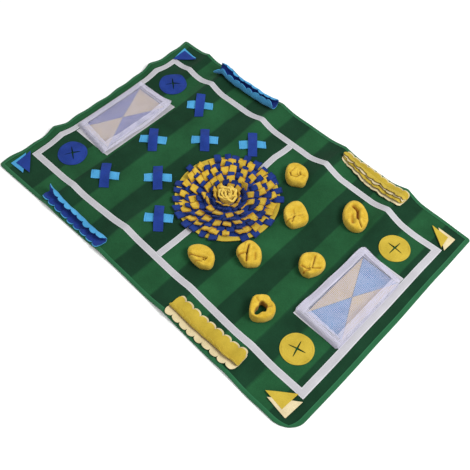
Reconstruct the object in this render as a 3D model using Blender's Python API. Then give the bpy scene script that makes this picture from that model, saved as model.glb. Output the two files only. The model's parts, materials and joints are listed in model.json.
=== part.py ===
"""Snuffle mat laid out as a football pitch: green cloth with felt, fleece and net pieces sewn on it.

Metres, +Z up. The cloth's own coordinates are u along its length, with the blue end at -u, and v across
it, with the near long side at -v. The mat lies with its packing folds still in it. What is sewn on it is
placed by its plan position (x, y) and is then set down on the cloth.
"""

import math
import random

import bmesh
import bpy
from mathutils import Vector
from mathutils.bvhtree import BVHTree

# ---------------------------------------------------------------- driving sizes
HALF_LENGTH = 0.500
HALF_WIDTH = 0.3375
CLOTH = 0.0030  # thickness of the mat
GAP = 0.0003  # between pieces that lie on each other

BINDING_WIDTH = 0.0085
BINDING_THICK = 0.0008
BINDING_COVER = 0.95  # share of the binding's width that its two legs reach inwards
WALL_GAP = 1.3 * GAP  # between the mat's edge and the binding's outer wall

TAPE_WIDTH = 0.0170
TAPE_THICK = 0.0008
TOUCH_BLUE_U, TOUCH_YELLOW_U, TOUCH_V = -0.4625, 0.4640, 0.2510  # middle of the touchline tape
HALFWAY_U = -0.0080
TAPE_BREAK = 0.0005  # between the ends of two tapes that meet
TAPE_SLACK = 0.0022  # the goal line's tape wanders by this much along the cloth

FELT = 0.0015
FLEECE = 0.0022
NET = 0.0010

ROSETTE = (-0.007, 0.000)  # centre of its base disc
ROSETTE_RADIUS = 0.133

# ---------------------------------------------------------------- how the cloth lies
# Plan position of lines of the cloth, read at a few stations.
ALONG = (-0.50, -0.30, -0.10, 0.10, 0.30, 0.40, 0.50)  # u stations
PLAN_Y = {  # v of the line: its plan y at the stations
    -0.3375: (-0.335, -0.333, -0.332, -0.337, -0.344, -0.3495, -0.351),
    -0.2510: (-0.247, -0.248, -0.243, -0.249, -0.257, -0.2615, -0.263),
    0.2510: (0.252, 0.2505, 0.2515, 0.2515, 0.249, 0.2425, 0.246),
    0.3375: (0.333, 0.335, 0.339, 0.339, 0.336, 0.332, 0.328),
}
ACROSS = (-0.3375, -0.20, 0.00, 0.20, 0.3375)  # v stations
PLAN_X = {  # u of the line: its plan x at the stations
    -0.5000: (-0.4995, -0.4940, -0.4905, -0.4950, -0.4970),
    TOUCH_BLUE_U: (-0.4590, -0.4625, -0.4620, -0.4640, -0.4660),
    TOUCH_YELLOW_U: (0.4680, 0.4675, 0.4645, 0.4615, 0.4590),
    0.5000: (0.5120, 0.5130, 0.5107, 0.5060, 0.5040),
}
CORNER_RADIUS = {(1, -1): 0.045, (1, 1): 0.006, (-1, 1): 0.006, (-1, -1): 0.006}

# Packing folds across the mat: u, half width, then crest height at the v stations.
FOLD_STATIONS = (0.3375, 0.2510, 0.1200, -0.1200, -0.2510, -0.3375)
FOLDS_ACROSS = (
    (-0.400, 0.032, (0.010, 0.009, 0.000, 0.000, 0.000, 0.000)),
    (-0.310, 0.045, (0.014, 0.016, 0.003, 0.003, 0.008, 0.006)),
    (-0.118, 0.050, (0.009, 0.015, 0.000, 0.000, 0.010, 0.008)),
    (0.107, 0.055, (0.010, 0.019, 0.000, 0.000, 0.005, 0.008)),
    (0.310, 0.050, (0.015, 0.015, 0.003, 0.002, 0.004, 0.002)),
)
# Softer folds along it: v, half width, then crest height at the u stations.
LONG_STATIONS = (-0.50, -0.42, -0.30, 0.00, 0.30, 0.50)
FOLDS_ALONG = (
    (0.180, 0.045, (0.018, 0.006, 0.002, 0.005, 0.002, 0.001)),
    (-0.165, 0.045, (0.016, 0.005, 0.001, 0.002, 0.001, 0.000)),
)

# Grid lines of the cloth, so that each crest and each tape edge is a row of points.
HALF_TAPE = TAPE_WIDTH / 2
CREST_STEPS = (-1.0, -0.3, 0.0, 0.3, 1.0)
BETWEEN_U, BETWEEN_V = [-0.215, 0.210, 0.410], [-0.070, 0.000, 0.070]  # lines between two folds
U_LINES = sorted(
    [-HALF_LENGTH, BINDING_WIDTH - HALF_LENGTH, HALF_LENGTH - BINDING_WIDTH, HALF_LENGTH]
    + [TOUCH_BLUE_U - HALF_TAPE, TOUCH_BLUE_U + HALF_TAPE, TOUCH_YELLOW_U - HALF_TAPE]
    + [TOUCH_YELLOW_U + HALF_TAPE, HALFWAY_U - HALF_TAPE, HALFWAY_U + HALF_TAPE]
    + BETWEEN_U
    + [u + step * half for u, half, _ in FOLDS_ACROSS for step in CREST_STEPS]
)
EDGE_RISE = 0.030  # the cloth lifts off the floor this far in from its edge, onto the binding
V_LINES = sorted(
    [side * v for side in (-1, 1) for v in (HALF_WIDTH, HALF_WIDTH - BINDING_WIDTH, HALF_WIDTH - EDGE_RISE)]
    + [side * (TOUCH_V + half) for side in (-1, 1) for half in (-HALF_TAPE, HALF_TAPE)]
    + [v + step * half for v, half, _ in FOLDS_ALONG for step in (-1, 0, 1)]
    + BETWEEN_V
)

COLOURS = {
    "pitch": (0.022, 0.110, 0.048),
    "binding": (0.035, 0.215, 0.085),
    "tape": (0.58, 0.58, 0.62),
    "blue": (0.020, 0.048, 0.300),
    "light_blue": (0.080, 0.380, 0.680),
    "yellow": (0.830, 0.540, 0.045),
    "cream": (0.740, 0.640, 0.450),
    "net": (0.62, 0.60, 0.74),
}


# ---------------------------------------------------------------- small tools
def smooth(t):
    t = min(max(t, 0.0), 1.0)
    return t * t * (3 - 2 * t)


def read_table(stations, values, at, ease=smooth):
    """The value at a place between stations, which may run up or down."""
    pairs = sorted(zip(stations, values))
    if at <= pairs[0][0]:
        return pairs[0][1]
    for (low, first), (high, second) in zip(pairs, pairs[1:]):
        if at <= high:
            return first + (second - first) * ease((at - low) / (high - low))
    return pairs[-1][1]


def line_between(lines, stations, across, along):
    """Reads each line of a plan table at 'along', then goes straight between the lines at 'across'."""
    places = {line: read_table(stations, values, along) for line, values in lines.items()}
    return read_table(places.keys(), places.values(), across, ease=lambda t: t)


def material(colour):
    name = "cloth_" + colour
    made = bpy.data.materials.get(name)
    if made is None:
        made = bpy.data.materials.new(name)
        made.use_nodes = True
        shader = made.node_tree.nodes["Principled BSDF"]
        shader.inputs["Base Color"].default_value = (*COLOURS[colour], 1.0)
        shader.inputs["Roughness"].default_value = 0.85
        shader.inputs["Metallic"].default_value = 0.0
    return made


def solid(name, points, faces, colour):
    mesh = bpy.data.meshes.new(name)
    mesh.from_pydata([tuple(point) for point in points], [], faces)
    shell = bmesh.new()
    shell.from_mesh(mesh)
    bmesh.ops.recalc_face_normals(shell, faces=shell.faces[:])
    bmesh.ops.triangulate(shell, faces=shell.faces[:])
    shell.to_mesh(mesh)
    shell.free()
    mesh.materials.append(material(colour))
    made = bpy.data.objects.new(name, mesh)
    bpy.context.scene.collection.objects.link(made)
    return made


def close_layers(low, high, cells):
    """Points and faces of a closed slab between two layers of points that share their cells."""
    count = len(low)
    faces = [tuple(index + count for index in cell) for cell in cells]
    faces += [tuple(reversed(cell)) for cell in cells]
    sides = {}
    for cell in cells:
        for first, second in zip(cell, cell[1:] + cell[:1]):
            key = (min(first, second), max(first, second))
            sides[key] = None if key in sides else (first, second)
    rim = [side for side in sides.values() if side]
    faces += [(a, b, b + count, a + count) for a, b in rim]
    return low + high, faces


# ---------------------------------------------------------------- the cloth
def round_corner(u, v):
    """Draws the corners of the cloth in to their radii."""
    for (side_u, side_v), radius in CORNER_RADIUS.items():
        along = 1 - (HALF_LENGTH - side_u * u) / radius
        across = 1 - (HALF_WIDTH - side_v * v) / radius
        if along > 0 and across > 0:
            new_along = along * math.sqrt(1 - across * across / 2)
            new_across = across * math.sqrt(1 - along * along / 2)
            u = side_u * (HALF_LENGTH - radius * (1 - new_along))
            v = side_v * (HALF_WIDTH - radius * (1 - new_across))
    return u, v


def plan(u, v):
    u, v = round_corner(u, v)
    return line_between(PLAN_X, ACROSS, u, v), line_between(PLAN_Y, ALONG, v, u)


def crest(distance, half_width):
    """A fold's section: a soft tent with a creased top."""
    return max(0.0, 1 - abs(distance) / half_width) ** 1.5


def lift(u, v):
    """Height of the cloth's underside over the floor."""
    height = 0.0
    for fold_u, half, crests in FOLDS_ACROSS:
        height = max(height, read_table(FOLD_STATIONS, crests, v) * crest(u - fold_u, half))
    for fold_v, half, crests in FOLDS_ALONG:
        height = max(height, read_table(LONG_STATIONS, crests, u) * crest(v - fold_v, half))
    from_edge = min(HALF_LENGTH - abs(u), HALF_WIDTH - abs(v))
    onto_binding = smooth((EDGE_RISE - from_edge) / (EDGE_RISE - BINDING_WIDTH))
    return height + (BINDING_THICK + 2 * GAP) * onto_binding


def cloth_point(u, v, above=0.0):
    """A point of the cloth; above is measured from its underside."""
    return Vector((*plan(u, v), lift(u, v) + above))


def cloth_piece(name, columns, rows, inside, low, high, colour):
    """A closed slab that follows the cloth's own grid, over the cells that 'inside' keeps."""
    index = {}
    under = []
    over = []
    cells = []
    for i in range(len(columns) - 1):
        for j in range(len(rows) - 1):
            if not inside(i, j):
                continue
            cell = []
            for step_i, step_j in ((0, 0), (1, 0), (1, 1), (0, 1)):
                key = (i + step_i, j + step_j)
                if key not in index:
                    index[key] = len(under)
                    under.append(cloth_point(columns[key[0]], rows[key[1]], low))
                    over.append(cloth_point(columns[key[0]], rows[key[1]], high))
                cell.append(index[key])
            # both halves of each cell are cut the same way in every piece, so that the facets stay parallel
            cells += [(cell[0], cell[1], cell[2]), (cell[0], cell[2], cell[3])]
    return solid(name, *close_layers(under, over, cells), colour)


def make_mat():
    return cloth_piece("mat", U_LINES, V_LINES, lambda i, j: True, 0.0, CLOTH, "pitch")


def make_touchline():
    first, last = TOUCH_BLUE_U - HALF_TAPE, TOUCH_YELLOW_U + HALF_TAPE
    columns = [u for u in U_LINES if first <= u <= last]
    rows = [v for v in V_LINES if abs(v) <= TOUCH_V + HALF_TAPE]

    def on_ring(i, j):
        return i in (0, len(columns) - 2) or j in (0, len(rows) - 2)

    low = CLOTH + GAP
    return cloth_piece("touchline", columns, rows, on_ring, low, low + TAPE_THICK, "tape")


def make_halfway_line():
    end = TOUCH_V - HALF_TAPE - TAPE_BREAK
    columns = [HALFWAY_U - HALF_TAPE, HALFWAY_U + HALF_TAPE]
    rows = [-end] + [v for v in V_LINES if abs(v) < end] + [end]
    low = CLOTH + GAP
    return cloth_piece("halfway_line", columns, rows, lambda i, j: True, low, low + TAPE_THICK, "tape")


def make_binding():
    """A tape folded round the edge: its section has an upper leg, an outer wall and a lower leg."""
    columns, rows = U_LINES, V_LINES
    ring = [(u, rows[0]) for u in columns[:-1]] + [(columns[-1], v) for v in rows[:-1]]
    ring += [(u, rows[-1]) for u in reversed(columns[1:])] + [(columns[0], v) for v in reversed(rows[1:])]
    inner_u, inner_v = HALF_LENGTH - BINDING_WIDTH, HALF_WIDTH - BINDING_WIDTH
    wall_out = -(GAP + BINDING_THICK) / BINDING_WIDTH
    wall_in = -WALL_GAP / BINDING_WIDTH
    outer, inner = CLOTH + GAP + BINDING_THICK, CLOTH + GAP
    section = [(BINDING_COVER, outer), (wall_out, outer), (wall_out, -GAP - BINDING_THICK)]
    section += [(BINDING_COVER, -GAP - BINDING_THICK), (BINDING_COVER, -GAP), (wall_in, -GAP)]
    section += [(wall_in, inner), (BINDING_COVER, inner)]
    points = []
    for u, v in ring:
        rim = cloth_point(u, v)
        inside = cloth_point(min(max(u, -inner_u), inner_u), min(max(v, -inner_v), inner_v))
        for share, above in section:
            points.append(rim.lerp(inside, share) + Vector((0, 0, above)))
    steps = len(section)
    faces = []
    for i in range(len(ring)):
        here, there = i * steps, (i + 1) % len(ring) * steps
        for k in range(steps):
            after = (k + 1) % steps
            faces.append((here + k, there + k, there + after, here + after))
    return solid("binding", points, faces, "binding")


# ---------------------------------------------------------------- setting pieces down
def tree_of(objects):
    points = []
    faces = []
    for made in objects:
        start = len(points)
        points += [vertex.co.copy() for vertex in made.data.vertices]
        faces += [[start + index for index in face.vertices] for face in made.data.polygons]
    return BVHTree.FromPolygons(points, faces)


def top_of(tree, x, y, default=0.0):
    for nudge in (0.0, 1e-6, -2e-6):
        hit = tree.ray_cast(Vector((x + nudge, y + 2 * nudge, 1.0)), Vector((0, 0, -1)))[0]
        if hit is not None:
            return hit.z
    return default


def settle(made, carriers, step=0.0012):
    """Moves a piece up or down until its nearest point is GAP above what carries it."""
    below = tree_of(carriers)
    piece = tree_of([made])
    points = [vertex.co for vertex in made.data.vertices]
    places = [(point.x, point.y) for point in points]
    for carrier in carriers:
        places += [(vertex.co.x, vertex.co.y) for vertex in carrier.data.vertices]
    low_x, high_x = min(p.x for p in points), max(p.x for p in points)
    low_y, high_y = min(p.y for p in points), max(p.y for p in points)
    count_x, count_y = int((high_x - low_x) / step), int((high_y - low_y) / step)
    for i in range(count_x + 1):
        for j in range(count_y + 1):
            places.append((low_x + (i + 0.5) * step, low_y + (j + 0.5) * step))
    nearest = None
    for x, y in places:
        if not (low_x <= x <= high_x and low_y <= y <= high_y):
            continue
        start = Vector((x, y, -1.0))
        underside = piece.ray_cast(start, Vector((0, 0, 1)))[0]
        floor = below.ray_cast(Vector((x, y, 1.0)), Vector((0, 0, -1)))[0]
        if underside is None or floor is None:
            continue
        clearance = underside.z - floor.z
        nearest = clearance if nearest is None else min(nearest, clearance)
    raise_by(made, GAP - nearest)
    return made


def raise_by(made, height):
    for vertex in made.data.vertices:
        vertex.co.z += height


def sheet(name, grid, thickness, colour, around=False):
    """A cloth of even thickness on a grid of points of its middle; 'around' joins its last row to its first."""
    rows, columns = len(grid), len(grid[0])
    low, high = [], []
    for i in range(rows):
        for j in range(columns):
            before = grid[i - 1][j] if i or around else grid[0][j]
            after = grid[(i + 1) % rows][j] if i < rows - 1 or around else grid[i][j]
            along = after - before
            across = grid[i][min(j + 1, columns - 1)] - grid[i][max(j - 1, 0)]
            normal = along.cross(across).normalized()
            low.append(grid[i][j] - normal * thickness / 2)
            high.append(grid[i][j] + normal * thickness / 2)
    cells = []
    for i in range(rows if around else rows - 1):
        for j in range(columns - 1):
            here, there = i * columns + j, (i + 1) % rows * columns + j
            cells.append((here, there, there + 1, here + 1))
    return solid(name, *close_layers(low, high, cells), colour)


def flat_piece(name, outline, thickness, colour, ground, centre=None):
    """A cut of felt: an outline in plan, laid point by point on the cloth."""
    low = [Vector((x, y, top_of(ground, x, y))) for x, y in outline]
    if centre:
        low.append(Vector((*centre, top_of(ground, *centre))))
        last = len(outline)
        cells = [(last, k, (k + 1) % last) for k in range(last)]
    else:
        cells = [tuple(range(len(outline)))]
    high = [point + Vector((0, 0, thickness)) for point in low]
    return solid(name, *close_layers(low, high, cells), colour)


def turned(x, y, degrees):
    angle = math.radians(degrees)
    return x * math.cos(angle) - y * math.sin(angle), x * math.sin(angle) + y * math.cos(angle)


# ---------------------------------------------------------------- goals
GOALS = {  # end: outer edge of the U of tape at the pitch side, its far y and near y, and which way the goal line lies
    "blue": {"pitch_x": -0.3275, "far_y": 0.1230, "near_y": -0.1220, "line_x": -0.4620, "out": -1},
    "yellow": {"pitch_x": 0.3265, "far_y": 0.1220, "near_y": -0.1300, "line_x": 0.4640, "out": 1},
}
GOAL_FLAPS = {  # end: felt rectangle, low x, high x, low y, high y, its meeting point, and the colour of each side
    "blue": (-0.4490, -0.3480, -0.1010, 0.1030, (-0.400, -0.003), ("cream", "blue", "cream", "blue")),
    "yellow": (0.3480, 0.4500, -0.1060, 0.1010, (0.397, -0.003), ("light_blue", "cream", "light_blue", "cream")),
}
FLAP_BREAK = 0.0004  # half the slit between two flaps
AREA_STEPS = 4  # pieces of each arm of a goal area's tape, so that it follows the cloth


def make_goal_area(end, ground):
    goal = GOALS[end]
    out = goal["out"]
    line = goal["line_x"] - out * (HALF_TAPE + TAPE_BREAK + TAPE_SLACK)
    pitch = goal["pitch_x"]
    far, near = goal["far_y"], goal["near_y"]
    steps = AREA_STEPS
    outer, inner = [], []
    for k in range(steps + 1):
        share = k / steps
        outer.append((line + (pitch - line) * share, far))
        inner.append((line + (pitch + out * TAPE_WIDTH - line) * share, far - TAPE_WIDTH))
    for k in range(1, 2 * steps):
        share = k / (2 * steps)
        outer.append((pitch, far + (near - far) * share))
        inner.append((pitch + out * TAPE_WIDTH, far - TAPE_WIDTH + (near - far + 2 * TAPE_WIDTH) * share))
    for k in range(steps + 1):
        share = 1 - k / steps
        outer.append((line + (pitch - line) * share, near))
        inner.append((line + (pitch + out * TAPE_WIDTH - line) * share, near + TAPE_WIDTH))
    places = outer + inner
    low = [Vector((x, y, top_of(ground, x, y))) for x, y in places]
    high = [point + Vector((0, 0, TAPE_THICK)) for point in low]
    count = len(outer)
    cells = [(k, k + 1, count + k + 1, count + k) for k in range(count - 1)]
    return solid("goal_area_" + end, *close_layers(low, high, cells), "tape")


def make_goal_felt(end, ground):
    """Four triangles whose points meet in the middle; each is sewn down along its long side."""
    low_x, high_x, low_y, high_y, middle, colours = GOAL_FLAPS[end]
    corners = [(low_x, high_y), (high_x, high_y), (high_x, low_y), (low_x, low_y)]
    names = ("far", "right", "near", "left")
    flaps = []
    for k, side in enumerate(names):
        first, second = Vector(corners[k]), Vector(corners[(k + 1) % 4])
        tip = Vector(middle)
        centre = (first + second + tip) / 3
        outline = []
        for corner in (first, second, tip):
            away = (centre - corner).normalized()
            outline.append(tuple(corner + away * 3 * FLAP_BREAK))
        name = "goal_felt_{}_{}".format(end, side)
        flaps.append(flat_piece(name, outline, FELT, colours[k], ground))
    return flaps


NET_STEPS = (-1.0, -0.95, -0.72, -0.36, 0.0, 0.36, 0.72, 0.95, 1.0)  # shares of the half size
NET_SEAM_SHARE, NET_BORDER_SHARE = 0.05, 0.28  # how far the steep foot and the doubled border reach in
NET_RIM_HEIGHT, NET_FIELD_HEIGHT = 0.0160, 0.0120  # of the doubled border and of the middle
NET_FOOT_RISE = 0.8  # share of the border's height that the steep foot reaches
NET_SAG_SHARE = 0.3  # how far from the border the net comes down to its middle height
TIP_SHARPNESS = 6
NETS = {  # end: corners far-left, far-right, near-right, near-left in plan, and how much each one turns up
    "blue": (((-0.4600, 0.1200), (-0.3400, 0.1230), (-0.3480, -0.1260), (-0.4580, -0.1080)), (0, 0.032, 0.006, 0)),
    "yellow": (((0.3330, 0.1230), (0.4560, 0.1100), (0.4580, -0.1320), (0.3320, -0.1210)), (0.024, 0, 0, 0.008)),
}


def net_height(from_edge):
    """A net stands steeply up from its stitched edges, is highest along its doubled border and sags inside."""
    if from_edge <= NET_SEAM_SHARE:
        return NET_RIM_HEIGHT * NET_FOOT_RISE * from_edge / NET_SEAM_SHARE
    if from_edge <= NET_BORDER_SHARE:
        climb = smooth((from_edge - NET_SEAM_SHARE) / NET_BORDER_SHARE)
        return NET_RIM_HEIGHT * (NET_FOOT_RISE + (1 - NET_FOOT_RISE) * climb)
    sag = smooth((from_edge - NET_BORDER_SHARE) / NET_SAG_SHARE)
    return NET_RIM_HEIGHT - (NET_RIM_HEIGHT - NET_FIELD_HEIGHT) * sag


def make_goal_net(end, ground):
    """Stitched along its goal line and both sides; the edge towards the pitch is open, like a goal."""
    corners, turned_up = NETS[end]
    out = GOALS[end]["out"]
    far_left, far_right, near_right, near_left = (Vector(corner) for corner in corners)
    grid = []
    for t in NET_STEPS:
        row = []
        for s in NET_STEPS:
            a, b = (s + 1) / 2, (t + 1) / 2
            place = far_left.lerp(far_right, a).lerp(near_left.lerp(near_right, a), b)
            weights = ((1 - a) * (1 - b), a * (1 - b), a * b, (1 - a) * b)
            tip = sum(w ** TIP_SHARPNESS * height for w, height in zip(weights, turned_up))
            height = net_height(min(1 - s * out, 1 - abs(t)))
            base = top_of(ground, place.x, place.y, CLOTH)
            row.append(Vector((place.x, place.y, base + height + tip)))
        grid.append(row)
    return sheet("goal_net_" + end, grid, NET, "net")


# ---------------------------------------------------------------- rosette
TAB_RINGS = (  # root radius, tabs, lean from upright in degrees, length
    (0.034, 9, 32, 0.0170),
    (0.047, 13, 42, 0.0190),
    (0.062, 17, 50, 0.0205),
    (0.078, 22, 58, 0.0215),
    (0.094, 26, 68, 0.0225),
    (0.110, 30, 80, 0.0240),
)
BARE_RIM = ((14, 31), (147, 168), (184, 200), (305, 327), (349, 361))  # degrees where no outer tab is sewn
TAB_THICK = 0.0022
TAB_GAP_SHARE = 0.13  # of the pitch between two tabs
TAB_SWAY, TAB_SHORTEST, TAB_LONGEST = 6, 0.92, 1.04  # degrees of lean, and shares of the length
RING_TURN = 0.35  # radians from one ring of tabs to the next
BACKING = 0.0010
BACKING_RIM, BACKING_RIM_POINTS = 0.116, 48
BASE_POINTS, BASE_INNER_RADIUS = 40, 0.090  # the disc's second ring of points lets its rim follow the cloth
ROSETTE_TOP = CLOTH + TAPE_THICK + FELT + 4 * GAP  # the tabs' backing lies on the base disc, over the tape


def make_rosette_base(ground):
    low = []
    for radius in (BASE_INNER_RADIUS, ROSETTE_RADIUS):
        for k in range(BASE_POINTS):
            angle = 2 * math.pi * k / BASE_POINTS
            x, y = ROSETTE[0] + radius * math.cos(angle), ROSETTE[1] + radius * math.sin(angle)
            low.append(Vector((x, y, top_of(ground, x, y))))
    cells = [tuple(range(BASE_POINTS))]
    for k in range(BASE_POINTS):
        after = (k + 1) % BASE_POINTS
        cells.append((k, BASE_POINTS + k, BASE_POINTS + after, after))
    high = [point + Vector((0, 0, FELT)) for point in low]
    return solid("rosette_base", *close_layers(low, high, cells), "yellow")


def stitch_rings(inner, outer):
    """Triangles between two closed rings of (angle, index), each sorted by its angle."""
    faces = []
    i = j = 0
    while i < len(inner) or j < len(outer):
        next_inner = inner[(i + 1) % len(inner)][0] + 2 * math.pi * ((i + 1) // len(inner))
        next_outer = outer[(j + 1) % len(outer)][0] + 2 * math.pi * ((j + 1) // len(outer))
        if j >= len(outer) or (i < len(inner) and next_inner <= next_outer):
            corners = (inner[i % len(inner)], inner[(i + 1) % len(inner)], outer[j % len(outer)])
            i += 1
        else:
            corners = (inner[i % len(inner)], outer[(j + 1) % len(outer)], outer[j % len(outer)])
            j += 1
        faces.append(tuple(corner[1] for corner in corners))
    return faces


def make_rosette_tabs():
    """Rings of fleece tabs that lean outwards, fused along their roots into one thin backing."""
    chance = random.Random(7)
    points = []
    faces = []

    def ring_of(radius, angles, height):
        start = len(points)
        for angle in angles:
            points.append(Vector((radius * math.cos(angle), radius * math.sin(angle), height)))
        return [(angle, start + k) for k, angle in enumerate(angles)]

    before = None
    for number, (radius, count, lean, length) in enumerate(TAB_RINGS):
        pitch = 2 * math.pi / count
        width = pitch * (1 - TAB_GAP_SHARE)
        angles = []
        for k in range(count):
            start = k * pitch + RING_TURN * number
            angles += [start, start + width]
        inner = ring_of(radius, angles, BACKING)
        outer = ring_of(radius + TAB_THICK, angles, BACKING)
        if before is None:
            faces.append(tuple(reversed([index for _, index in inner])))
        else:
            faces += stitch_rings(before, inner)
        for k in range(len(angles)):
            after = (k + 1) % len(angles)
            root = [inner[k][1], outer[k][1], outer[after][1], inner[after][1]]
            if k % 2:
                faces.append(tuple(root))
                continue
            tilt = math.radians(lean + chance.uniform(-TAB_SWAY, TAB_SWAY))
            reach_share = chance.uniform(TAB_SHORTEST, TAB_LONGEST)
            middle = (angles[k] + angles[k + 1]) / 2
            place = math.degrees(middle) % 360
            if number == len(TAB_RINGS) - 1 and any(low <= place <= high for low, high in BARE_RIM):
                faces.append(tuple(root))
                continue
            way = Vector((math.sin(tilt) * math.cos(middle), math.sin(tilt) * math.sin(middle), math.cos(tilt)))
            reach = way * length * reach_share
            tip = len(points)
            points.extend(points[index] + reach for index in root)
            for a in range(4):
                b = (a + 1) % 4
                faces.append((root[a], root[b], tip + b, tip + a))
            faces.append((tip, tip + 1, tip + 2, tip + 3))
        before = outer
    rim_angles = [2 * math.pi * k / BACKING_RIM_POINTS for k in range(BACKING_RIM_POINTS)]
    rim = ring_of(BACKING_RIM, rim_angles, BACKING)
    faces += stitch_rings(before, rim)
    foot = ring_of(BACKING_RIM, rim_angles, 0.0)
    for k in range(len(rim)):
        after = (k + 1) % len(rim)
        faces.append((rim[k][1], foot[k][1], foot[after][1], rim[after][1]))
    faces.append(tuple(index for _, index in foot))
    points = [point + Vector((*ROSETTE, ROSETTE_TOP)) for point in points]
    return solid("rosette_tabs", points, faces, "blue")


HEART_RINGS = (  # radius, height
    (0.0225, 0.000), (0.0270, 0.008), (0.0285, 0.018), (0.0220, 0.026), (0.0130, 0.0285), (0.0055, 0.0265),
)
HEART_POINTS = 24
HEART_DIMPLE = 0.0235  # height of the middle of its top
HEART_SWELL, HEART_RIPPLE = 0.09, 0.0016  # how far its lobes go in and out, and up and down


def make_rosette_heart():
    """The ruffled roll in the middle, as one lobed mass whose top is creased."""
    base = ROSETTE_TOP + BACKING + GAP
    points = []
    for number, (radius, height) in enumerate(HEART_RINGS):
        for k in range(HEART_POINTS):
            angle = 2 * math.pi * k / HEART_POINTS
            wave = math.sin(5 * angle + 1.1 * number) + 0.6 * math.sin(8 * angle - 1.7 * number)
            swell = 1 + HEART_SWELL * wave * (number > 0)
            rise = height + HEART_RIPPLE * wave * (number > 1)
            x, y = radius * swell * math.cos(angle), radius * swell * math.sin(angle)
            points.append(Vector((ROSETTE[0] + x, ROSETTE[1] + y, base + rise)))
    faces = [tuple(reversed(range(HEART_POINTS)))]
    for number in range(len(HEART_RINGS) - 1):
        for k in range(HEART_POINTS):
            here, after = number * HEART_POINTS + k, number * HEART_POINTS + (k + 1) % HEART_POINTS
            faces.append((here, after, after + HEART_POINTS, here + HEART_POINTS))
    top = len(points)
    points.append(Vector((*ROSETTE, base + HEART_DIMPLE)))
    last = (len(HEART_RINGS) - 1) * HEART_POINTS
    faces += [(last + k, last + (k + 1) % HEART_POINTS, top) for k in range(HEART_POINTS)]
    return solid("rosette_heart", points, faces, "yellow")


# ---------------------------------------------------------------- crossed strips
CROSSES = (  # x, y, turn of the upper strip, turn of the lower strip, both in degrees from +x
    (-0.282, 0.175, -50, 41),
    (-0.082, 0.173, -47, 43),
    (-0.185, 0.097, -46, 42),
    (-0.282, 0.000, -47, 40),
    (-0.179, -0.079, -44, 44),
    (-0.279, -0.169, -47, 41),
    (-0.083, -0.165, -46, 42),
)
UNDER_STRIP, OVER_STRIP = (0.071, 0.025), (0.077, 0.024)  # length and width
STRIP_STEPS = (-1.0, -0.8, -0.35, 0.0, 0.35, 0.8, 1.0)
UNDER_ARCH, OVER_ARCH = 0.0020, 0.0062
ARCH_FOOT = 0.8  # share of the half length over which the arch comes down


def make_strip(name, x, y, turn, size, arch, colour, ground):
    """A felt strip sewn down at its two ends, a little arched in between."""
    grid = []
    for share in STRIP_STEPS:
        row = []
        for side in (-1, 1):
            dx, dy = turned(share * size[0] / 2, side * size[1] / 2, turn)
            rise = arch * smooth((1 - abs(share)) / ARCH_FOOT)
            row.append(Vector((x + dx, y + dy, top_of(ground, x + dx, y + dy) + rise)))
        grid.append(row)
    return sheet(name, grid, FELT, colour)


# ---------------------------------------------------------------- puffs
PUFFS = (  # x, y, long radius, short radius, turn, mouth long, mouth short, height
    (0.077, 0.171, 0.0320, 0.0280, 135, 0.0090, 0.0066, 0.028),
    (0.265, 0.175, 0.0390, 0.0270, 138, 0.0082, 0.0068, 0.028),
    (0.157, 0.073, 0.0370, 0.0290, 135, 0.0070, 0.0064, 0.028),
    (0.280, -0.008, 0.0325, 0.0310, 25, 0.0078, 0.0064, 0.027),
    (0.155, -0.090, 0.0320, 0.0290, -50, 0.0092, 0.0064, 0.029),
    (0.077, -0.175, 0.0340, 0.0265, 38, 0.0082, 0.0064, 0.026),
    (0.274, -0.178, 0.0290, 0.0280, 100, 0.0108, 0.0092, 0.029),
)
PUFF_PROFILE = (  # share of the way from the mouth to the full radius, and share of the height
    (0.74, 0.00), (1.00, 0.40), (0.80, 0.86), (0.22, 1.00), (0.00, 0.80),
)
PUFF_POINTS = 14
GATHER = 0.10  # share by which the belly goes in and out
MOUTH_CREASE = 0.0012


def make_puff(number, mat, ground):
    """A fleece tube: its foot is sewn to the cloth, its belly swells, and its mouth is gathered in folds."""
    x, y, long, short, turn, mouth_long, mouth_short, height = PUFFS[number - 1]
    lobes = 3 + number % 3
    middle = top_of(ground, x, y)
    grid = []
    for k in range(PUFF_POINTS):
        angle = 2 * math.pi * k / PUFF_POINTS
        row = []
        for level, (share, rise) in enumerate(PUFF_PROFILE):
            gather = GATHER * math.sin(lobes * angle + number) * (level in (1, 2))
            reach_x = (mouth_long + (long - mouth_long) * share) * (1 + gather)
            reach_y = (mouth_short + (short - mouth_short) * share) * (1 + gather)
            dx, dy = turned(reach_x * math.cos(angle), reach_y * math.sin(angle), turn)
            crease = MOUTH_CREASE * math.sin(lobes * angle + 2 * number) * (level > 1)
            if level == 0:
                foot = top_of(ground, x + dx, y + dy)
            row.append(Vector((x + dx, y + dy, foot + (middle - foot + height) * rise + crease)))
        grid.append(row)
    made = sheet("puff_{}".format(number), grid, FLEECE, "yellow", around=True)
    return settle(made, [mat])


# ---------------------------------------------------------------- slit discs
SLIT_DISCS = (  # name, x, y, radius, turn of the slits in degrees, colour
    ("slit_disc_blue_1", -0.395, 0.180, 0.0385, 52, "blue"),
    ("slit_disc_blue_2", -0.395, -0.181, 0.0385, 57, "blue"),
    ("slit_disc_yellow_1", 0.386, 0.176, 0.0385, 88, "yellow"),
    ("slit_disc_yellow_2", 0.392, -0.192, 0.0390, 15, "yellow"),
)
SLIT_LENGTH, SLIT_WIDTH = 0.0185, 0.0012  # half length and half width in the middle
DISC_POINTS = 32
DISC_DOME = 0.0012


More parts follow.
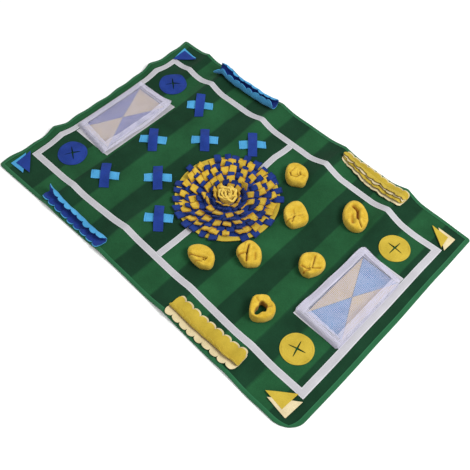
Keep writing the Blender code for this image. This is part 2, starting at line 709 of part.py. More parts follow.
def make_slit_disc(name, x, y, radius, turn, colour, ground):
    """A felt disc with two crossed slits, which leave four pointed flaps."""
    outer = []
    slit = []
    for k in range(DISC_POINTS):
        angle = 360 * k / DISC_POINTS + turn
        outer.append(turned(radius, 0, angle))
    for k in range(8):
        reach = SLIT_LENGTH if k % 2 == 0 else SLIT_WIDTH * math.sqrt(2)
        slit.append(turned(reach, 0, 45 * k + turn))
    places = outer + slit
    low = []
    for k, (dx, dy) in enumerate(places):
        dome = DISC_DOME if k >= DISC_POINTS else 0.0
        low.append(Vector((x + dx, y + dy, top_of(ground, x + dx, y + dy) + dome)))
    cells = []
    per_slit = DISC_POINTS // 8
    for k in range(8):
        here, after = DISC_POINTS + k, DISC_POINTS + (k + 1) % 8
        for step in range(per_slit):
            first = k * per_slit + step
            anchor = here if step < per_slit / 2 else after
            cells.append((first, (first + 1) % DISC_POINTS, anchor))
        cells.append((k * per_slit + per_slit // 2, after, here))
    high = [point + Vector((0, 0, FELT)) for point in low]
    return solid(name, *close_layers(low, high, cells), colour)


# ---------------------------------------------------------------- frills
SCALLOPS = 9
SCALLOP_DEPTH = 0.0065
LINING_SLACK = 0.0004  # more room for a lining strip, which bends round the other one's folds
WAVES = 2.5  # times that the pages swing to and fro along a strip, by its wave in degrees
# A page is the half of a strip on one side of its seam, in three runs: root, middle and tip. Each run leans
# by an angle from the level: 0 lies flat, 90 stands up and more than 90 folds over the seam.
# A strip's stations are: share of its length, leans of its edge page, leans of its pitch page.
# Where "over" is a distance pair, the upper strip lines the lower one and stops that far short of its tips.
FRILLS = (
    {"name": "far_blue", "from": (-0.336, 0.308), "to": (-0.126, 0.313), "half": 0.036, "wave": 2,
     "under_colour": "light_blue", "over_colour": "blue",
     "under": ((0.00, (30, 60, 80), (14, 34, 46)), (0.22, (50, 88, 128), (22, 82, 106)),
               (1.00, (52, 95, 142), (20, 92, 116))),
     "over": (0.0024, 0.0024)},
    {"name": "near_blue", "from": (-0.336, -0.300), "to": (-0.118, -0.304), "half": 0.031, "wave": 3,
     "under_colour": "light_blue", "over_colour": "blue",
     "under": ((0.00, (14, 24, 34), (70, 84, 94)), (0.20, (12, 14, 18), (62, 128, 156)),
               (1.00, (12, 13, 15), (62, 136, 166))),
     "over": (0.0020, 0.0024)},
    {"name": "far_yellow", "from": (0.116, 0.321), "to": (0.322, 0.306), "half": 0.026, "wave": 7,
     "under_colour": "cream", "over_colour": "yellow", "inset": 0.0034,
     "under": ((0.0, (24, 30, 36), (12, 8, 8)), (1.0, (12, 8, 8), (10, 8, 8))),
     "over": ((0.0, (32, 40, 44), (46, 76, 60)), (1.0, (20, 16, 14), (44, 72, 50)))},
    {"name": "near_yellow", "from": (0.116, -0.301), "to": (0.328, -0.308), "half": 0.028, "wave": 7,
     "under_colour": "cream", "over_colour": "yellow", "inset": 0.0040,
     "under": ((0.0, (12, 10, 8), (10, 14, 20)), (1.0, (12, 8, 8), (10, 12, 14))),
     "over": ((0.0, (54, 96, 124), (18, 24, 28)), (1.0, (46, 76, 96), (18, 20, 22)))},
)


def leans_at(stations, share, wave):
    """The three leans of the edge page and of the pitch page at a share of the strip's length."""
    shares = [station[0] for station in stations]
    pages = []
    for side in (1, 2):
        runs = zip(*(station[side] for station in stations))
        pages.append([read_table(shares, run, share) + wave for run in runs])
    return pages


def page(start, side, leans, half, scallop):
    """Points of one page as (sideways, up), from its root to its tip."""
    points = [start]
    for run, lean in zip((half / 3, half / 3, half / 3 - scallop), leans):
        angle = math.radians(lean)
        points.append(points[-1] + Vector((side * run * math.cos(angle), run * math.sin(angle))))
    return points


def strip_line(seam, leans, half, scallop):
    """A strip's section from the tip of its edge page, over its seam, to the tip of its pitch page."""
    edge = page(seam, -1, leans[0], half, scallop)
    return edge[:0:-1] + page(seam, 1, leans[1], half, scallop)


def lining_line(line, distance, short):
    """The section of a strip that lines another one on its inner side and stops short of both its tips."""
    ways = [(after - before).normalized() for before, after in zip(line, line[1:])]
    inward = [Vector((-way.y, way.x)) for way in ways]
    inner = [line[0] + inward[0] * distance + ways[0] * short[0]]
    for k in range(1, len(line) - 1):
        both = inward[k - 1] + inward[k]
        inner.append(line[k] + both * distance / (1 + inward[k - 1].dot(inward[k])))
    inner.append(line[-1] + inward[-1] * distance - ways[-1] * short[1])
    return inner


def nested_seam(leans, distance):
    """Where a strip's seam lies that keeps this distance to the root runs of the strip under it."""
    edge, pitch = math.radians(leans[0][0]), math.radians(leans[1][0])
    across = Vector((math.sin(edge) - math.sin(pitch), math.cos(edge) + math.cos(pitch))).normalized()
    return across * distance / (across.x * math.sin(edge) + across.y * math.cos(edge))


def make_frill(row, carriers, ground):
    """Two scalloped strips, one in the other, sewn to the cloth along one seam."""
    first, second = Vector(row["from"]), Vector(row["to"])
    to_pitch = -1 if first.y > 0 else 1
    stations = 2 * SCALLOPS + 1
    nest = FELT + 2 * GAP
    grids = {"under": [], "over": []}
    for k in range(stations):
        share = k / (stations - 1)
        wave = row["wave"] * math.sin(2 * math.pi * share * WAVES + len(row["name"]))
        seam = first.lerp(second, share)
        base = top_of(ground, seam.x, seam.y)
        scallop = SCALLOP_DEPTH * (k % 2 == 0)
        leans = leans_at(row["under"], share, wave)
        under_line = strip_line(Vector((0.0, 0.0)), leans, row["half"], scallop)
        if "inset" in row:
            start = nested_seam(leans, nest)
            over_line = strip_line(start, leans_at(row["over"], share, wave), row["half"] - row["inset"], scallop)
        else:
            over_line = lining_line(under_line, nest + LINING_SLACK, row["over"])
        for layer, line in (("under", under_line), ("over", over_line)):
            grids[layer].append([Vector((seam.x, seam.y + to_pitch * sideways, base + up)) for sideways, up in line])
    under = sheet("frill_{}_under".format(row["name"]), grids["under"], FELT, row["under_colour"])
    over = sheet("frill_{}_over".format(row["name"]), grids["over"], FELT, row["over_colour"])
    before = under.data.vertices[0].co.z
    settle(under, carriers)
    raise_by(over, under.data.vertices[0].co.z - before)
    return under, over


# ---------------------------------------------------------------- corner flags
FLAGS = (  # name, corners of the lower felt, corners of the upper felt
    ("far_blue", "light_blue", "blue",
     ((-0.480, 0.308), (-0.424, 0.300), (-0.472, 0.262)), ((-0.471, 0.300), (-0.419, 0.295), (-0.469, 0.252))),
    ("near_blue", "light_blue", "blue",
     ((-0.480, -0.314), (-0.480, -0.266), (-0.432, -0.312)), ((-0.471, -0.304), (-0.476, -0.254), (-0.420, -0.300))),
    ("far_yellow", "cream", "yellow",
     ((0.477, 0.301), (0.427, 0.302), (0.476, 0.254)), ((0.461, 0.293), (0.412, 0.296), (0.466, 0.256))),
    ("near_yellow", "cream", "yellow",
     ((0.479, -0.330), (0.482, -0.277), (0.420, -0.322)), ((0.461, -0.320), (0.464, -0.270), (0.408, -0.314))),
)


def make_flag(row, cloth, tapes):
    name, under_colour, over_colour, under_corners, over_corners = row
    ground = tree_of([cloth])
    under = flat_piece("flag_{}_under".format(name), under_corners, FELT, under_colour, ground)
    settle(under, [cloth, *tapes])
    over = flat_piece("flag_{}_over".format(name), over_corners, FELT, over_colour, ground)
    settle(over, [cloth, under, *tapes])
    return under, over


# ---------------------------------------------------------------- the whole mat
def make_all():
    mat = make_mat()
    binding = make_binding()
    touchline = make_touchline()
    halfway = make_halfway_line()
    ground = tree_of([mat])
    for end in GOALS:
        area = settle(make_goal_area(end, ground), [mat])
        flaps = [settle(flap, [mat]) for flap in make_goal_felt(end, ground)]
        settle(make_goal_net(end, ground), [mat, area, touchline, *flaps])
    settle(make_rosette_base(ground), [mat, halfway])
    make_rosette_tabs()
    make_rosette_heart()
    for number, (x, y, over_turn, under_turn) in enumerate(CROSSES, 1):
        name = "cross_{}_".format(number)
        under = make_strip(name + "under", x, y, under_turn, UNDER_STRIP, UNDER_ARCH, "light_blue", ground)
        settle(under, [mat])
        over = make_strip(name + "over", x, y, over_turn, OVER_STRIP, OVER_ARCH, "blue", ground)
        settle(over, [mat, under])
    for number in range(1, len(PUFFS) + 1):
        make_puff(number, mat, ground)
    for name, x, y, radius, turn, colour in SLIT_DISCS:
        settle(make_slit_disc(name, x, y, radius, turn, colour, ground), [mat])
    for row in FRILLS:
        make_frill(row, [mat, binding], ground)
    for row in FLAGS:
        make_flag(row, mat, [touchline, binding])


def centre_on_box():
    """The origin is the middle of the whole mat's box, on the floor."""
    made = [item for item in bpy.data.objects if item.type == "MESH"]
    points = [vertex.co for item in made for vertex in item.data.vertices]
    middle_x = (min(p.x for p in points) + max(p.x for p in points)) / 2
    middle_y = (min(p.y for p in points) + max(p.y for p in points)) / 2
    low_z = min(p.z for p in points)
    for item in made:
        for vertex in item.data.vertices:
            vertex.co -= Vector((middle_x, middle_y, low_z))
        item.data.update()
    print("moved to the middle of its box: {:.5f} {:.5f} {:.5f}".format(middle_x, middle_y, low_z))


for old in list(bpy.data.objects):
    bpy.data.objects.remove(old, do_unlink=True)
make_all()
centre_on_box()
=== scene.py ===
# %% [markdown]
# # A snuffle mat laid out as a football pitch
# The real object is one large green cloth, about a metre long, with the lines of a pitch sewn on as white
# tape and small felt, fleece and net pieces in which dry food is hidden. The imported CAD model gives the
# size and place of every piece. This script makes each one again with the surface that a maker would see.
# It begins with the frame and the camera.

# %% The frame
import json
import math
import random

import bmesh
import bpy
from mathutils import Matrix, Vector, noise
from mathutils.bvhtree import BVHTree

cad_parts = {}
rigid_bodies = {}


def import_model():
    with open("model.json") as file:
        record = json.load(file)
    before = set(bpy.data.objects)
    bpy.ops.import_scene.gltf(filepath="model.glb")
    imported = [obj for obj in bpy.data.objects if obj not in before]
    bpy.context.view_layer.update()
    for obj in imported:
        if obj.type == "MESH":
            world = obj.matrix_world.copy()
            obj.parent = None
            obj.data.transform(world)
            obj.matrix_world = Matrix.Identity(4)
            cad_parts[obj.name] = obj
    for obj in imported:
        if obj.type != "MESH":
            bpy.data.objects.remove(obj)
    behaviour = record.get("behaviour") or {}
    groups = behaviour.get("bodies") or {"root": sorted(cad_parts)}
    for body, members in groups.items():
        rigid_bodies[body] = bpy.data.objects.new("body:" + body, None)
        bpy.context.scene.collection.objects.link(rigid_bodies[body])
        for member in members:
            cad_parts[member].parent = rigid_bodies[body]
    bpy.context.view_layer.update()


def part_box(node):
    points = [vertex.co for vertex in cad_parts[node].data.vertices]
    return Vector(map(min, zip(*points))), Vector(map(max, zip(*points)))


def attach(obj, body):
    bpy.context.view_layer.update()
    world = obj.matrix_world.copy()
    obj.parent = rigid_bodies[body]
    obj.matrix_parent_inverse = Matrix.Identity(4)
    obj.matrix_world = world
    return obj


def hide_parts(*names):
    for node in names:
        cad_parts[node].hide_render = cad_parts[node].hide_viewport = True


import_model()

ROSETTE = (-0.007, 0.000)  # the base disc's centre in the cloth's own plan
low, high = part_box("rosette_base")
SHIFT = Vector(((low[0] + high[0]) / 2 - ROSETTE[0], (low[1] + high[1]) / 2 - ROSETTE[1], 0.0))
print("plan moved by", [round(value, 5) for value in SHIFT])

# %% [markdown]
# ## The camera
# The photograph was taken from above the near yellow corner. The place and the direction of the camera were
# solved from the corners of the sewn touchline, so that the render can be laid over the photograph.

# %% Camera, light and floor
CAMERA_AT = Vector((0.7537, -0.8306, 1.4844)) + SHIFT
CAMERA_LOOK = Vector((-0.37327, 0.42510, -0.82460))
CAMERA_RIGHT = Vector((0.72263, 0.69063, 0.02892))
LENS_MM, SENSOR_MM = 56.41, 36.0
LIGHTS = (  # name, place, width, power in watts
    ("key_light", (1.7, 0.5, 2.3), 1.2, 66),
    ("fill_light", (-1.2, -1.4, 2.4), 2.2, 10),
)
WORLD_STRENGTH = 0.72
FLOOR_HALF = 6

camera_data = bpy.data.cameras.new("studio_camera")
camera_data.lens = LENS_MM
camera_data.sensor_width = SENSOR_MM
camera_data.sensor_fit = "HORIZONTAL"
camera = bpy.data.objects.new("studio_camera", camera_data)
look = CAMERA_LOOK.normalized()
down = look.cross(CAMERA_RIGHT).normalized()
right = down.cross(look).normalized()
camera.matrix_world = Matrix(
    (
        (right.x, -down.x, -look.x, CAMERA_AT.x),
        (right.y, -down.y, -look.y, CAMERA_AT.y),
        (right.z, -down.z, -look.z, CAMERA_AT.z),
        (0, 0, 0, 1),
    )
)
bpy.context.scene.collection.objects.link(camera)
bpy.context.scene.camera = camera


def area_light(name, place, size, power):
    """A round studio light that points at the middle of the mat."""
    data = bpy.data.lights.new(name, "AREA")
    data.shape = "DISK"
    data.size = size
    data.energy = power
    lamp = bpy.data.objects.new(name, data)
    lamp.location = place
    lamp.rotation_euler = (-Vector(place)).to_track_quat("-Z", "Y").to_euler()
    bpy.context.scene.collection.objects.link(lamp)


for light in LIGHTS:
    area_light(*light)

world = bpy.data.worlds.new("studio_world")
bpy.context.scene.world = world
world.use_nodes = True
world.node_tree.nodes["Background"].inputs["Color"].default_value = (1.0, 1.0, 1.0, 1.0)
world.node_tree.nodes["Background"].inputs["Strength"].default_value = WORLD_STRENGTH

floor_mesh = bpy.data.meshes.new("studio_floor")
floor_corners = [(x * FLOOR_HALF, y * FLOOR_HALF, 0) for x, y in ((-1, -1), (1, -1), (1, 1), (-1, 1))]
floor_mesh.from_pydata(floor_corners, [], [(0, 1, 2, 3)])
floor = bpy.data.objects.new("studio_floor", floor_mesh)
bpy.context.scene.collection.objects.link(floor)
paper = bpy.data.materials.new("floor_paper")
paper.use_nodes = True
paper_shader = paper.node_tree.nodes["Principled BSDF"]
paper_shader.inputs["Base Color"].default_value = (0.95, 0.95, 0.95, 1.0)
paper_shader.inputs["Roughness"].default_value = 0.9
paper_shader.inputs["Specular IOR Level"].default_value = 0.1
floor_mesh.materials.append(paper)

# A plain product photograph has no film curve, so the colours are shown as they are.
bpy.context.scene.view_settings.view_transform = "Standard"

# %% [markdown]
# ## How the cloth lies
# The mat still shows the folds it was packed in: five across it and two softer ones along it. The CAD model
# has the same folds, worked out from the same small tables. Here the crests are rounded a little, as on real
# cloth, and low wrinkles are added, which are too fine for the solids.

# %% The cloth's plan and its folds
HALF_LENGTH, HALF_WIDTH = 0.500, 0.3375
CLOTH, GAP = 0.0030, 0.0003
BINDING_WIDTH, BINDING_THICK = 0.0085, 0.0008
TAPE_WIDTH, TAPE_THICK = 0.0170, 0.0008
TOUCH_BLUE_U, TOUCH_YELLOW_U, TOUCH_V = -0.4625, 0.4640, 0.2510
HALFWAY_U = -0.0080
ALONG = (-0.50, -0.30, -0.10, 0.10, 0.30, 0.40, 0.50)
PLAN_Y = {
    -0.3375: (-0.335, -0.333, -0.332, -0.337, -0.344, -0.3495, -0.351),
    -0.2510: (-0.247, -0.248, -0.243, -0.249, -0.257, -0.2615, -0.263),
    0.2510: (0.252, 0.2505, 0.2515, 0.2515, 0.249, 0.2425, 0.246),
    0.3375: (0.333, 0.335, 0.339, 0.339, 0.336, 0.332, 0.328),
}
ACROSS = (-0.3375, -0.20, 0.00, 0.20, 0.3375)
PLAN_X = {
    -0.5000: (-0.4995, -0.4940, -0.4905, -0.4950, -0.4970),
    TOUCH_BLUE_U: (-0.4590, -0.4625, -0.4620, -0.4640, -0.4660),
    TOUCH_YELLOW_U: (0.4680, 0.4675, 0.4645, 0.4615, 0.4590),
    0.5000: (0.5120, 0.5130, 0.5107, 0.5060, 0.5040),
}
CORNER_RADIUS = {(1, -1): 0.045, (1, 1): 0.006, (-1, 1): 0.006, (-1, -1): 0.006}
FOLD_STATIONS = (0.3375, 0.2510, 0.1200, -0.1200, -0.2510, -0.3375)
FOLDS_ACROSS = (
    (-0.400, 0.032, (0.010, 0.009, 0.000, 0.000, 0.000, 0.000)),
    (-0.310, 0.045, (0.014, 0.016, 0.003, 0.003, 0.008, 0.006)),
    (-0.118, 0.050, (0.009, 0.015, 0.000, 0.000, 0.010, 0.008)),
    (0.107, 0.055, (0.010, 0.019, 0.000, 0.000, 0.005, 0.008)),
    (0.310, 0.050, (0.015, 0.015, 0.003, 0.002, 0.004, 0.002)),
)
LONG_STATIONS = (-0.50, -0.42, -0.30, 0.00, 0.30, 0.50)
FOLDS_ALONG = (
    (0.180, 0.045, (0.013, 0.005, 0.002, 0.005, 0.002, 0.001)),
    (-0.165, 0.045, (0.012, 0.004, 0.001, 0.002, 0.001, 0.000)),
)
EDGE_RISE = 0.030
EDGE_SWAY = 0.0014  # the edge at the blue end is not quite straight
SWAY_FROM, SWAY_OVER = -0.470, 0.030  # where that begins, and over what length it grows
CREST_ROUND = 0.0020  # how far from its middle a crest is rounded off
WRINKLES = ((0.085, 0.0011, 3.0), (0.034, 0.00042, 11.0))  # size, height, place in the noise


def smooth(t):
    t = min(max(t, 0.0), 1.0)
    return t * t * (3 - 2 * t)


def read_table(stations, values, at, ease=smooth):
    """The value at a place between stations, which may run up or down."""
    pairs = sorted(zip(stations, values))
    if at <= pairs[0][0]:
        return pairs[0][1]
    for (left, first), (right, second) in zip(pairs, pairs[1:]):
        if at <= right:
            return first + (second - first) * ease((at - left) / (right - left))
    return pairs[-1][1]


def line_between(lines, stations, across, along):
    places = {line: read_table(stations, values, along) for line, values in lines.items()}
    return read_table(places.keys(), places.values(), across, ease=lambda t: t)


def round_corner(u, v):
    for (side_u, side_v), radius in CORNER_RADIUS.items():
        along = 1 - (HALF_LENGTH - side_u * u) / radius
        across = 1 - (HALF_WIDTH - side_v * v) / radius
        if along > 0 and across > 0:
            new_along = along * math.sqrt(1 - across * across / 2)
            new_across = across * math.sqrt(1 - along * along / 2)
            u = side_u * (HALF_LENGTH - radius * (1 - new_along))
            v = side_v * (HALF_WIDTH - radius * (1 - new_across))
    return u, v


def plan(u, v):
    """Where a point of the cloth lies, seen from above; u and v are its place on the flat cut."""
    u, v = round_corner(u, v)
    x, y = line_between(PLAN_X, ACROSS, u, v), line_between(PLAN_Y, ALONG, v, u)
    at_edge = smooth((SWAY_FROM - u) / SWAY_OVER)
    x += EDGE_SWAY * at_edge * (math.sin(88 * v) + 0.6 * math.sin(47 * v + 1))
    return x + SHIFT.x, y + SHIFT.y


def crest(distance, half_width):
    """The section of a fold: 1 at its crest, and down to 0 at its foot in a hollow curve."""
    rounded = math.sqrt(distance * distance + CREST_ROUND * CREST_ROUND) - CREST_ROUND * 0.4
    return max(0.0, 1 - rounded / half_width) ** 1.5


def fold_height(u, v):
    height = 0.0
    for fold_u, half, crests in FOLDS_ACROSS:
        height = max(height, read_table(FOLD_STATIONS, crests, v) * crest(u - fold_u, half))
    for fold_v, half, crests in FOLDS_ALONG:
        height = max(height, read_table(LONG_STATIONS, crests, u) * crest(v - fold_v, half))
    return height


def wrinkle(u, v):
    """Low, wide wrinkles; they only ever lift the cloth off the floor."""
    height = 0.0
    for size, amount, place in WRINKLES:
        height += amount * (0.5 + noise.noise(Vector((u / size, v / size, place))))
    return max(0.0, height)


def lay(u, v, above=0.0):
    """A point of the cloth; above is measured from its underside."""
    from_edge = min(HALF_LENGTH - abs(u), HALF_WIDTH - abs(v))
    onto_binding = (BINDING_THICK + 2 * GAP) * smooth((EDGE_RISE - from_edge) / (EDGE_RISE - BINDING_WIDTH))
    return Vector((*plan(u, v), fold_height(u, v) + wrinkle(u, v) + onto_binding + above))


# %% [markdown]
# ## Slabs of cloth
# Felt, fleece, tape and net are all thin sheets. Each is drawn as a grid of points of its middle surface,
# with a second pair of numbers at each point: its place on the flat cut, in metres. One helper gives the grid
# its thickness, closes its rim and stores the flat place as a UV map, so that a weave follows the cloth.

# %% Helpers for slabs
SHARP_EDGE = math.radians(50)  # edges that turn by more than this are shown sharp


def steps(first, last, count):
    return [first + (last - first) * k / count for k in range(count + 1)]


def between(first, second, share):
    return [a + (b - a) * share for a, b in zip(first, second)]


def turned(x, y, degrees):
    angle = math.radians(degrees)
    return x * math.cos(angle) - y * math.sin(angle), x * math.sin(angle) + y * math.cos(angle)


def grid_normals(grid, around):
    rows, columns = len(grid), len(grid[0])
    normals = []
    for i in range(rows):
        line = []
        for j in range(columns):
            before = grid[i - 1][j] if i or around else grid[0][j]
            after = grid[(i + 1) % rows][j] if i < rows - 1 or around else grid[i][j]
            across = grid[i][min(j + 1, columns - 1)] - grid[i][max(j - 1, 0)]
            normal = (after - before).cross(across)
            line.append(normal.normalized() if normal.length > 1e-12 else Vector((0, 0, 1)))
        normals.append(line)
    return normals


def flat_places(grid):
    """The place of each point on the flat cut, from the lengths along its row and down its middle column."""
    places = []
    down_length = 0.0
    for i, row in enumerate(grid):
        if i:
            down_length += (row[len(row) // 2] - grid[i - 1][len(row) // 2]).length
        along = 0.0
        line = []
        for j, point in enumerate(row):
            if j:
                along += (point - row[j - 1]).length
            line.append((along, down_length))
        places.append(line)
    return places


def cut_size(grid, around=False):
    """Width, length and area of the flat cut that a grid was laid from."""
    rows = [sum((b - a).length for a, b in zip(row, row[1:])) for row in grid]
    columns = []
    for j in range(len(grid[0])):
        column = [row[j] for row in grid] + ([grid[0][j]] if around else [])
        columns.append(sum((b - a).length for a, b in zip(column, column[1:])))
    area = 0.0
    count = len(grid)
    for i in range(count if around else count - 1):
        here, there = grid[i], grid[(i + 1) % count]
        for j in range(len(here) - 1):
            area += (here[j + 1] - here[j]).cross(there[j] - here[j]).length / 2
            area += (here[j + 1] - there[j + 1]).cross(there[j] - there[j + 1]).length / 2
    return max(rows), max(columns), area


def triangle_size(grid):
    """Base, height and area of a triangle whose grid starts at its base."""
    base, _, area = cut_size(grid)
    return base, 2 * area / base, area


def finish_mesh(name, points, faces, uvs, material):
    """A mesh object from points and faces; uvs has one flat place for each point."""
    mesh = bpy.data.meshes.new(name)
    mesh.from_pydata([tuple(point) for point in points], [], faces)
    layer = mesh.uv_layers.new(name="cloth")
    for loop in mesh.loops:
        layer.data[loop.index].uv = uvs[loop.vertex_index]
    shell = bmesh.new()
    shell.from_mesh(mesh)
    bmesh.ops.recalc_face_normals(shell, faces=shell.faces[:])
    shell.to_mesh(mesh)
    shell.free()
    mesh.materials.append(material)
    mesh.shade_smooth()
    mesh.set_sharp_from_angle(angle=SHARP_EDGE)
    made = bpy.data.objects.new(name, mesh)
    bpy.context.scene.collection.objects.link(made)
    return made


def two_sided(cells, count):
    """The faces of both sides and of the rim of a sheet; a point's other side comes count points later."""
    faces = []
    edges = {}
    for cell in cells:
        faces.append([index + count for index in cell])
        faces.append(cell[::-1])
        for a, b in zip(cell, cell[1:] + cell[:1]):
            key = (min(a, b), max(a, b))
            edges[key] = None if key in edges else (a, b)
    return faces + [(a, b, b + count, a + count) for a, b in (pair for pair in edges.values() if pair)]


def slab(name, grid, thickness, material, uvs=None, around=False):
    """A closed sheet of even thickness about a grid, whose last row joins its first if it goes around."""
    normals = grid_normals(grid, around)
    rows, columns = len(grid), len(grid[0])
    points = []
    for side in (-1, 1):
        for line, ways in zip(grid, normals):
            points += [point + way * side * thickness / 2 for point, way in zip(line, ways)]
    cells = []
    for i in range(rows if around else rows - 1):
        after = (i + 1) % rows
        for j in range(columns - 1):
            cells.append([i * columns + j, after * columns + j, after * columns + j + 1, i * columns + j + 1])
    flat = [place for line in uvs or flat_places(grid) for place in line]
    return finish_mesh(name, points, two_sided(cells, rows * columns), flat + flat, material)


def store_painted_shade(made, painted_shade):
    """Stores how much painted shade each point of a grid gets, on both sides of its slab."""
    made.data.attributes.new("crease", "FLOAT", "POINT").data.foreach_set("value", painted_shade * 2)


def declare(piece, node, slot, size):
    """Attaches a sheet to the root and hides the CAD node it stands for, if any; its size is not used."""
    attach(piece, "root")
    if node:
        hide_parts(node)
    width, length, area = size
    area = area and min(area, width * length)


# %% [markdown]
# ## Finishes
# Every finish is a Principled shader with a few procedural layers. Colour varies over centimetres, as dye and
# wear do, and again over a millimetre or two, as fibres do. A bump of the same fine noise breaks the light up,
# and a sheen stands for the loose fibres that catch light at a grazing angle. Where a piece has creases or
# spots that little light reaches, each point knows how much painted shade it gets, and the finish darkens
# there towards a deeper colour of the fleece: painted shade, not a colour that the fleece has.

# %% Helpers for finishes
def noise_texture(tree, vector, scale, detail, roughness=0.55):
    node = tree.nodes.new("ShaderNodeTexNoise")
    node.inputs["Scale"].default_value = scale
    node.inputs["Detail"].default_value = detail
    node.inputs["Roughness"].default_value = roughness
    tree.links.new(vector, node.inputs["Vector"])
    return node.outputs["Fac"]


def math_node(tree, operation, first, second=None):
    node = tree.nodes.new("ShaderNodeMath")
    node.operation = operation
    for socket, value in zip(node.inputs, (first, second)):
        if value is None:
            continue
        if isinstance(value, (int, float)):
            socket.default_value = value
        else:
            tree.links.new(value, socket)
    return node.outputs["Value"]


def spread(tree, value, low_from, low_to, high_from, high_to):
    """Maps low_from..high_from to low_to..high_to."""
    node = tree.nodes.new("ShaderNodeMapRange")
    tree.links.new(value, node.inputs["Value"])
    limits = {"From Min": low_from, "From Max": high_from, "To Min": low_to, "To Max": high_to}
    for name, number in limits.items():
        node.inputs[name].default_value = number
    return node.outputs["Result"]


def mix_colour(tree, factor, first, second):
    node = tree.nodes.new("ShaderNodeMix")
    node.data_type = "RGBA"
    for name, kind, value in (("Factor", "VALUE", factor), ("A", "RGBA", first), ("B", "RGBA", second)):
        socket = next(s for s in node.inputs if s.name == name and s.type == kind)
        if isinstance(value, tuple):
            socket.default_value = (*value, 1.0)
        else:
            tree.links.new(value, socket)
    return next(s for s in node.outputs if s.type == "RGBA")


def bump(tree, height, distance, strength, before=None):
    node = tree.nodes.new("ShaderNodeBump")
    node.inputs["Strength"].default_value = strength
    node.inputs["Distance"].default_value = distance
    tree.links.new(height, node.inputs["Height"])
    if before is not None:
        tree.links.new(before, node.inputs["Normal"])
    return node.outputs["Normal"]


def start_finish(name, roughness, sheen):
    made = bpy.data.materials.new(name)
    made.use_nodes = True
    shader = made.node_tree.nodes["Principled BSDF"]
    shader.inputs["Roughness"].default_value = roughness
    shader.inputs["Specular IOR Level"].default_value = 0.08
    shader.inputs["Sheen Weight"].default_value = sheen
    shader.inputs["Sheen Roughness"].default_value = 0.5
    tree = made.node_tree
    places = tree.nodes.new("ShaderNodeTexCoord")
    return made, tree, shader, places


def flat_axes(tree, places):
    """The two distances on the flat cut, from the UV map."""
    split = tree.nodes.new("ShaderNodeSeparateXYZ")
    tree.links.new(places.outputs["UV"], split.inputs["Vector"])
    return split.outputs["X"], split.outputs["Y"]


def set_colour(tree, shader, tone, shade):
    """Gives a shader its colour: a tone that shade makes darker or lighter."""
    shaded = tree.nodes.new("ShaderNodeVectorMath")
    shaded.operation = "SCALE"
    tree.links.new(tone, shaded.inputs[0])
    tree.links.new(shade, shaded.inputs["Scale"])
    tree.links.new(shaded.outputs["Vector"], shader.inputs["Base Color"])


def fibre_finish(
    name, dark, light, fibre=900.0, pile=0.00025, patch=28.0, sheen=0.06, contrast=1.0, fold=None
):
    """Felt or fleece: patches of tone, a fibre fleck and a matt pile; fold is the painted shade colour."""
    made, tree, shader, places = start_finish(name, 0.92, sheen)
    at = places.outputs["Object"]
    patches = spread(tree, noise_texture(tree, at, patch, 4.0), 0.32, 0.0, 0.68, 1.0)
    fleck = spread(tree, noise_texture(tree, at, fibre, 2.0, 0.7), 0.30, 0.0, 0.70, 1.0)
    tone = mix_colour(tree, patches, dark, light)
    # Painted shade: the crease attribute mixes in the fold colour where shade falls.
    if fold:
        crease = tree.nodes.new("ShaderNodeAttribute")
        crease.attribute_name = "crease"
        tone = mix_colour(tree, crease.outputs["Fac"], tone, fold)
    shade = spread(tree, fleck, 0.0, 1.0 - 0.22 * contrast, 1.0, 1.0 + 0.10 * contrast)
    set_colour(tree, shader, tone, shade)
    nap = noise_texture(tree, at, 260.0, 3.0, 0.6)
    first = bump(tree, nap, pile * 2.0, 0.6)
    tree.links.new(bump(tree, fleck, pile, 0.5, first), shader.inputs["Normal"])
    return made


BLUE_FELT = fibre_finish("blue_felt", (0.0110, 0.0330, 0.190), (0.0175, 0.0480, 0.270))
SKY_FELT = fibre_finish("light_blue_felt", (0.052, 0.265, 0.500), (0.078, 0.345, 0.620))
YELLOW_FELT = fibre_finish("yellow_felt", (0.430, 0.310, 0.032), (0.520, 0.380, 0.046))
CREAM_FELT = fibre_finish("cream_felt", (0.560, 0.465, 0.270), (0.680, 0.580, 0.365))
FLEECE_PILE = {"fibre": 700.0, "pile": 0.0005, "patch": 60.0}  # coarser and deeper than felt's
# A fleece's fold colour is painted shade, for creases, the puffs' mouths and the roots and edges of tabs.
YELLOW_FLEECE = fibre_finish(
    "yellow_fleece", (0.520, 0.330, 0.024), (0.660, 0.455, 0.056),
    sheen=0.08, contrast=1.3, fold=(0.330, 0.130, 0.006), **FLEECE_PILE,
)  # fmt: skip
BLUE_FLEECE = fibre_finish(
    "blue_fleece", (0.0090, 0.0270, 0.150), (0.0170, 0.0450, 0.235),
    contrast=1.2, fold=(0.0022, 0.0050, 0.030), **FLEECE_PILE,
)  # fmt: skip

# %% [markdown]
# ### The printed pitch
# The green cloth is printed with mown stripes: eight light and eight dark bands across its short direction.
# Their edges were read on the photograph. The ramp works on the UV map, so a stripe bends with each fold.

# %% Pitch cloth
BAND_EDGES = (
    -0.474, -0.380, -0.322, -0.262, -0.191, -0.129, -0.071, -0.008,
    0.058, 0.122, 0.190, 0.249, 0.312, 0.371, 0.440,
)  # fmt: skip
BAND_LIGHT, BAND_DARK = (0.0115, 0.0680, 0.0245), (0.0062, 0.0340, 0.0150)
BAND_BLUR = 0.0012


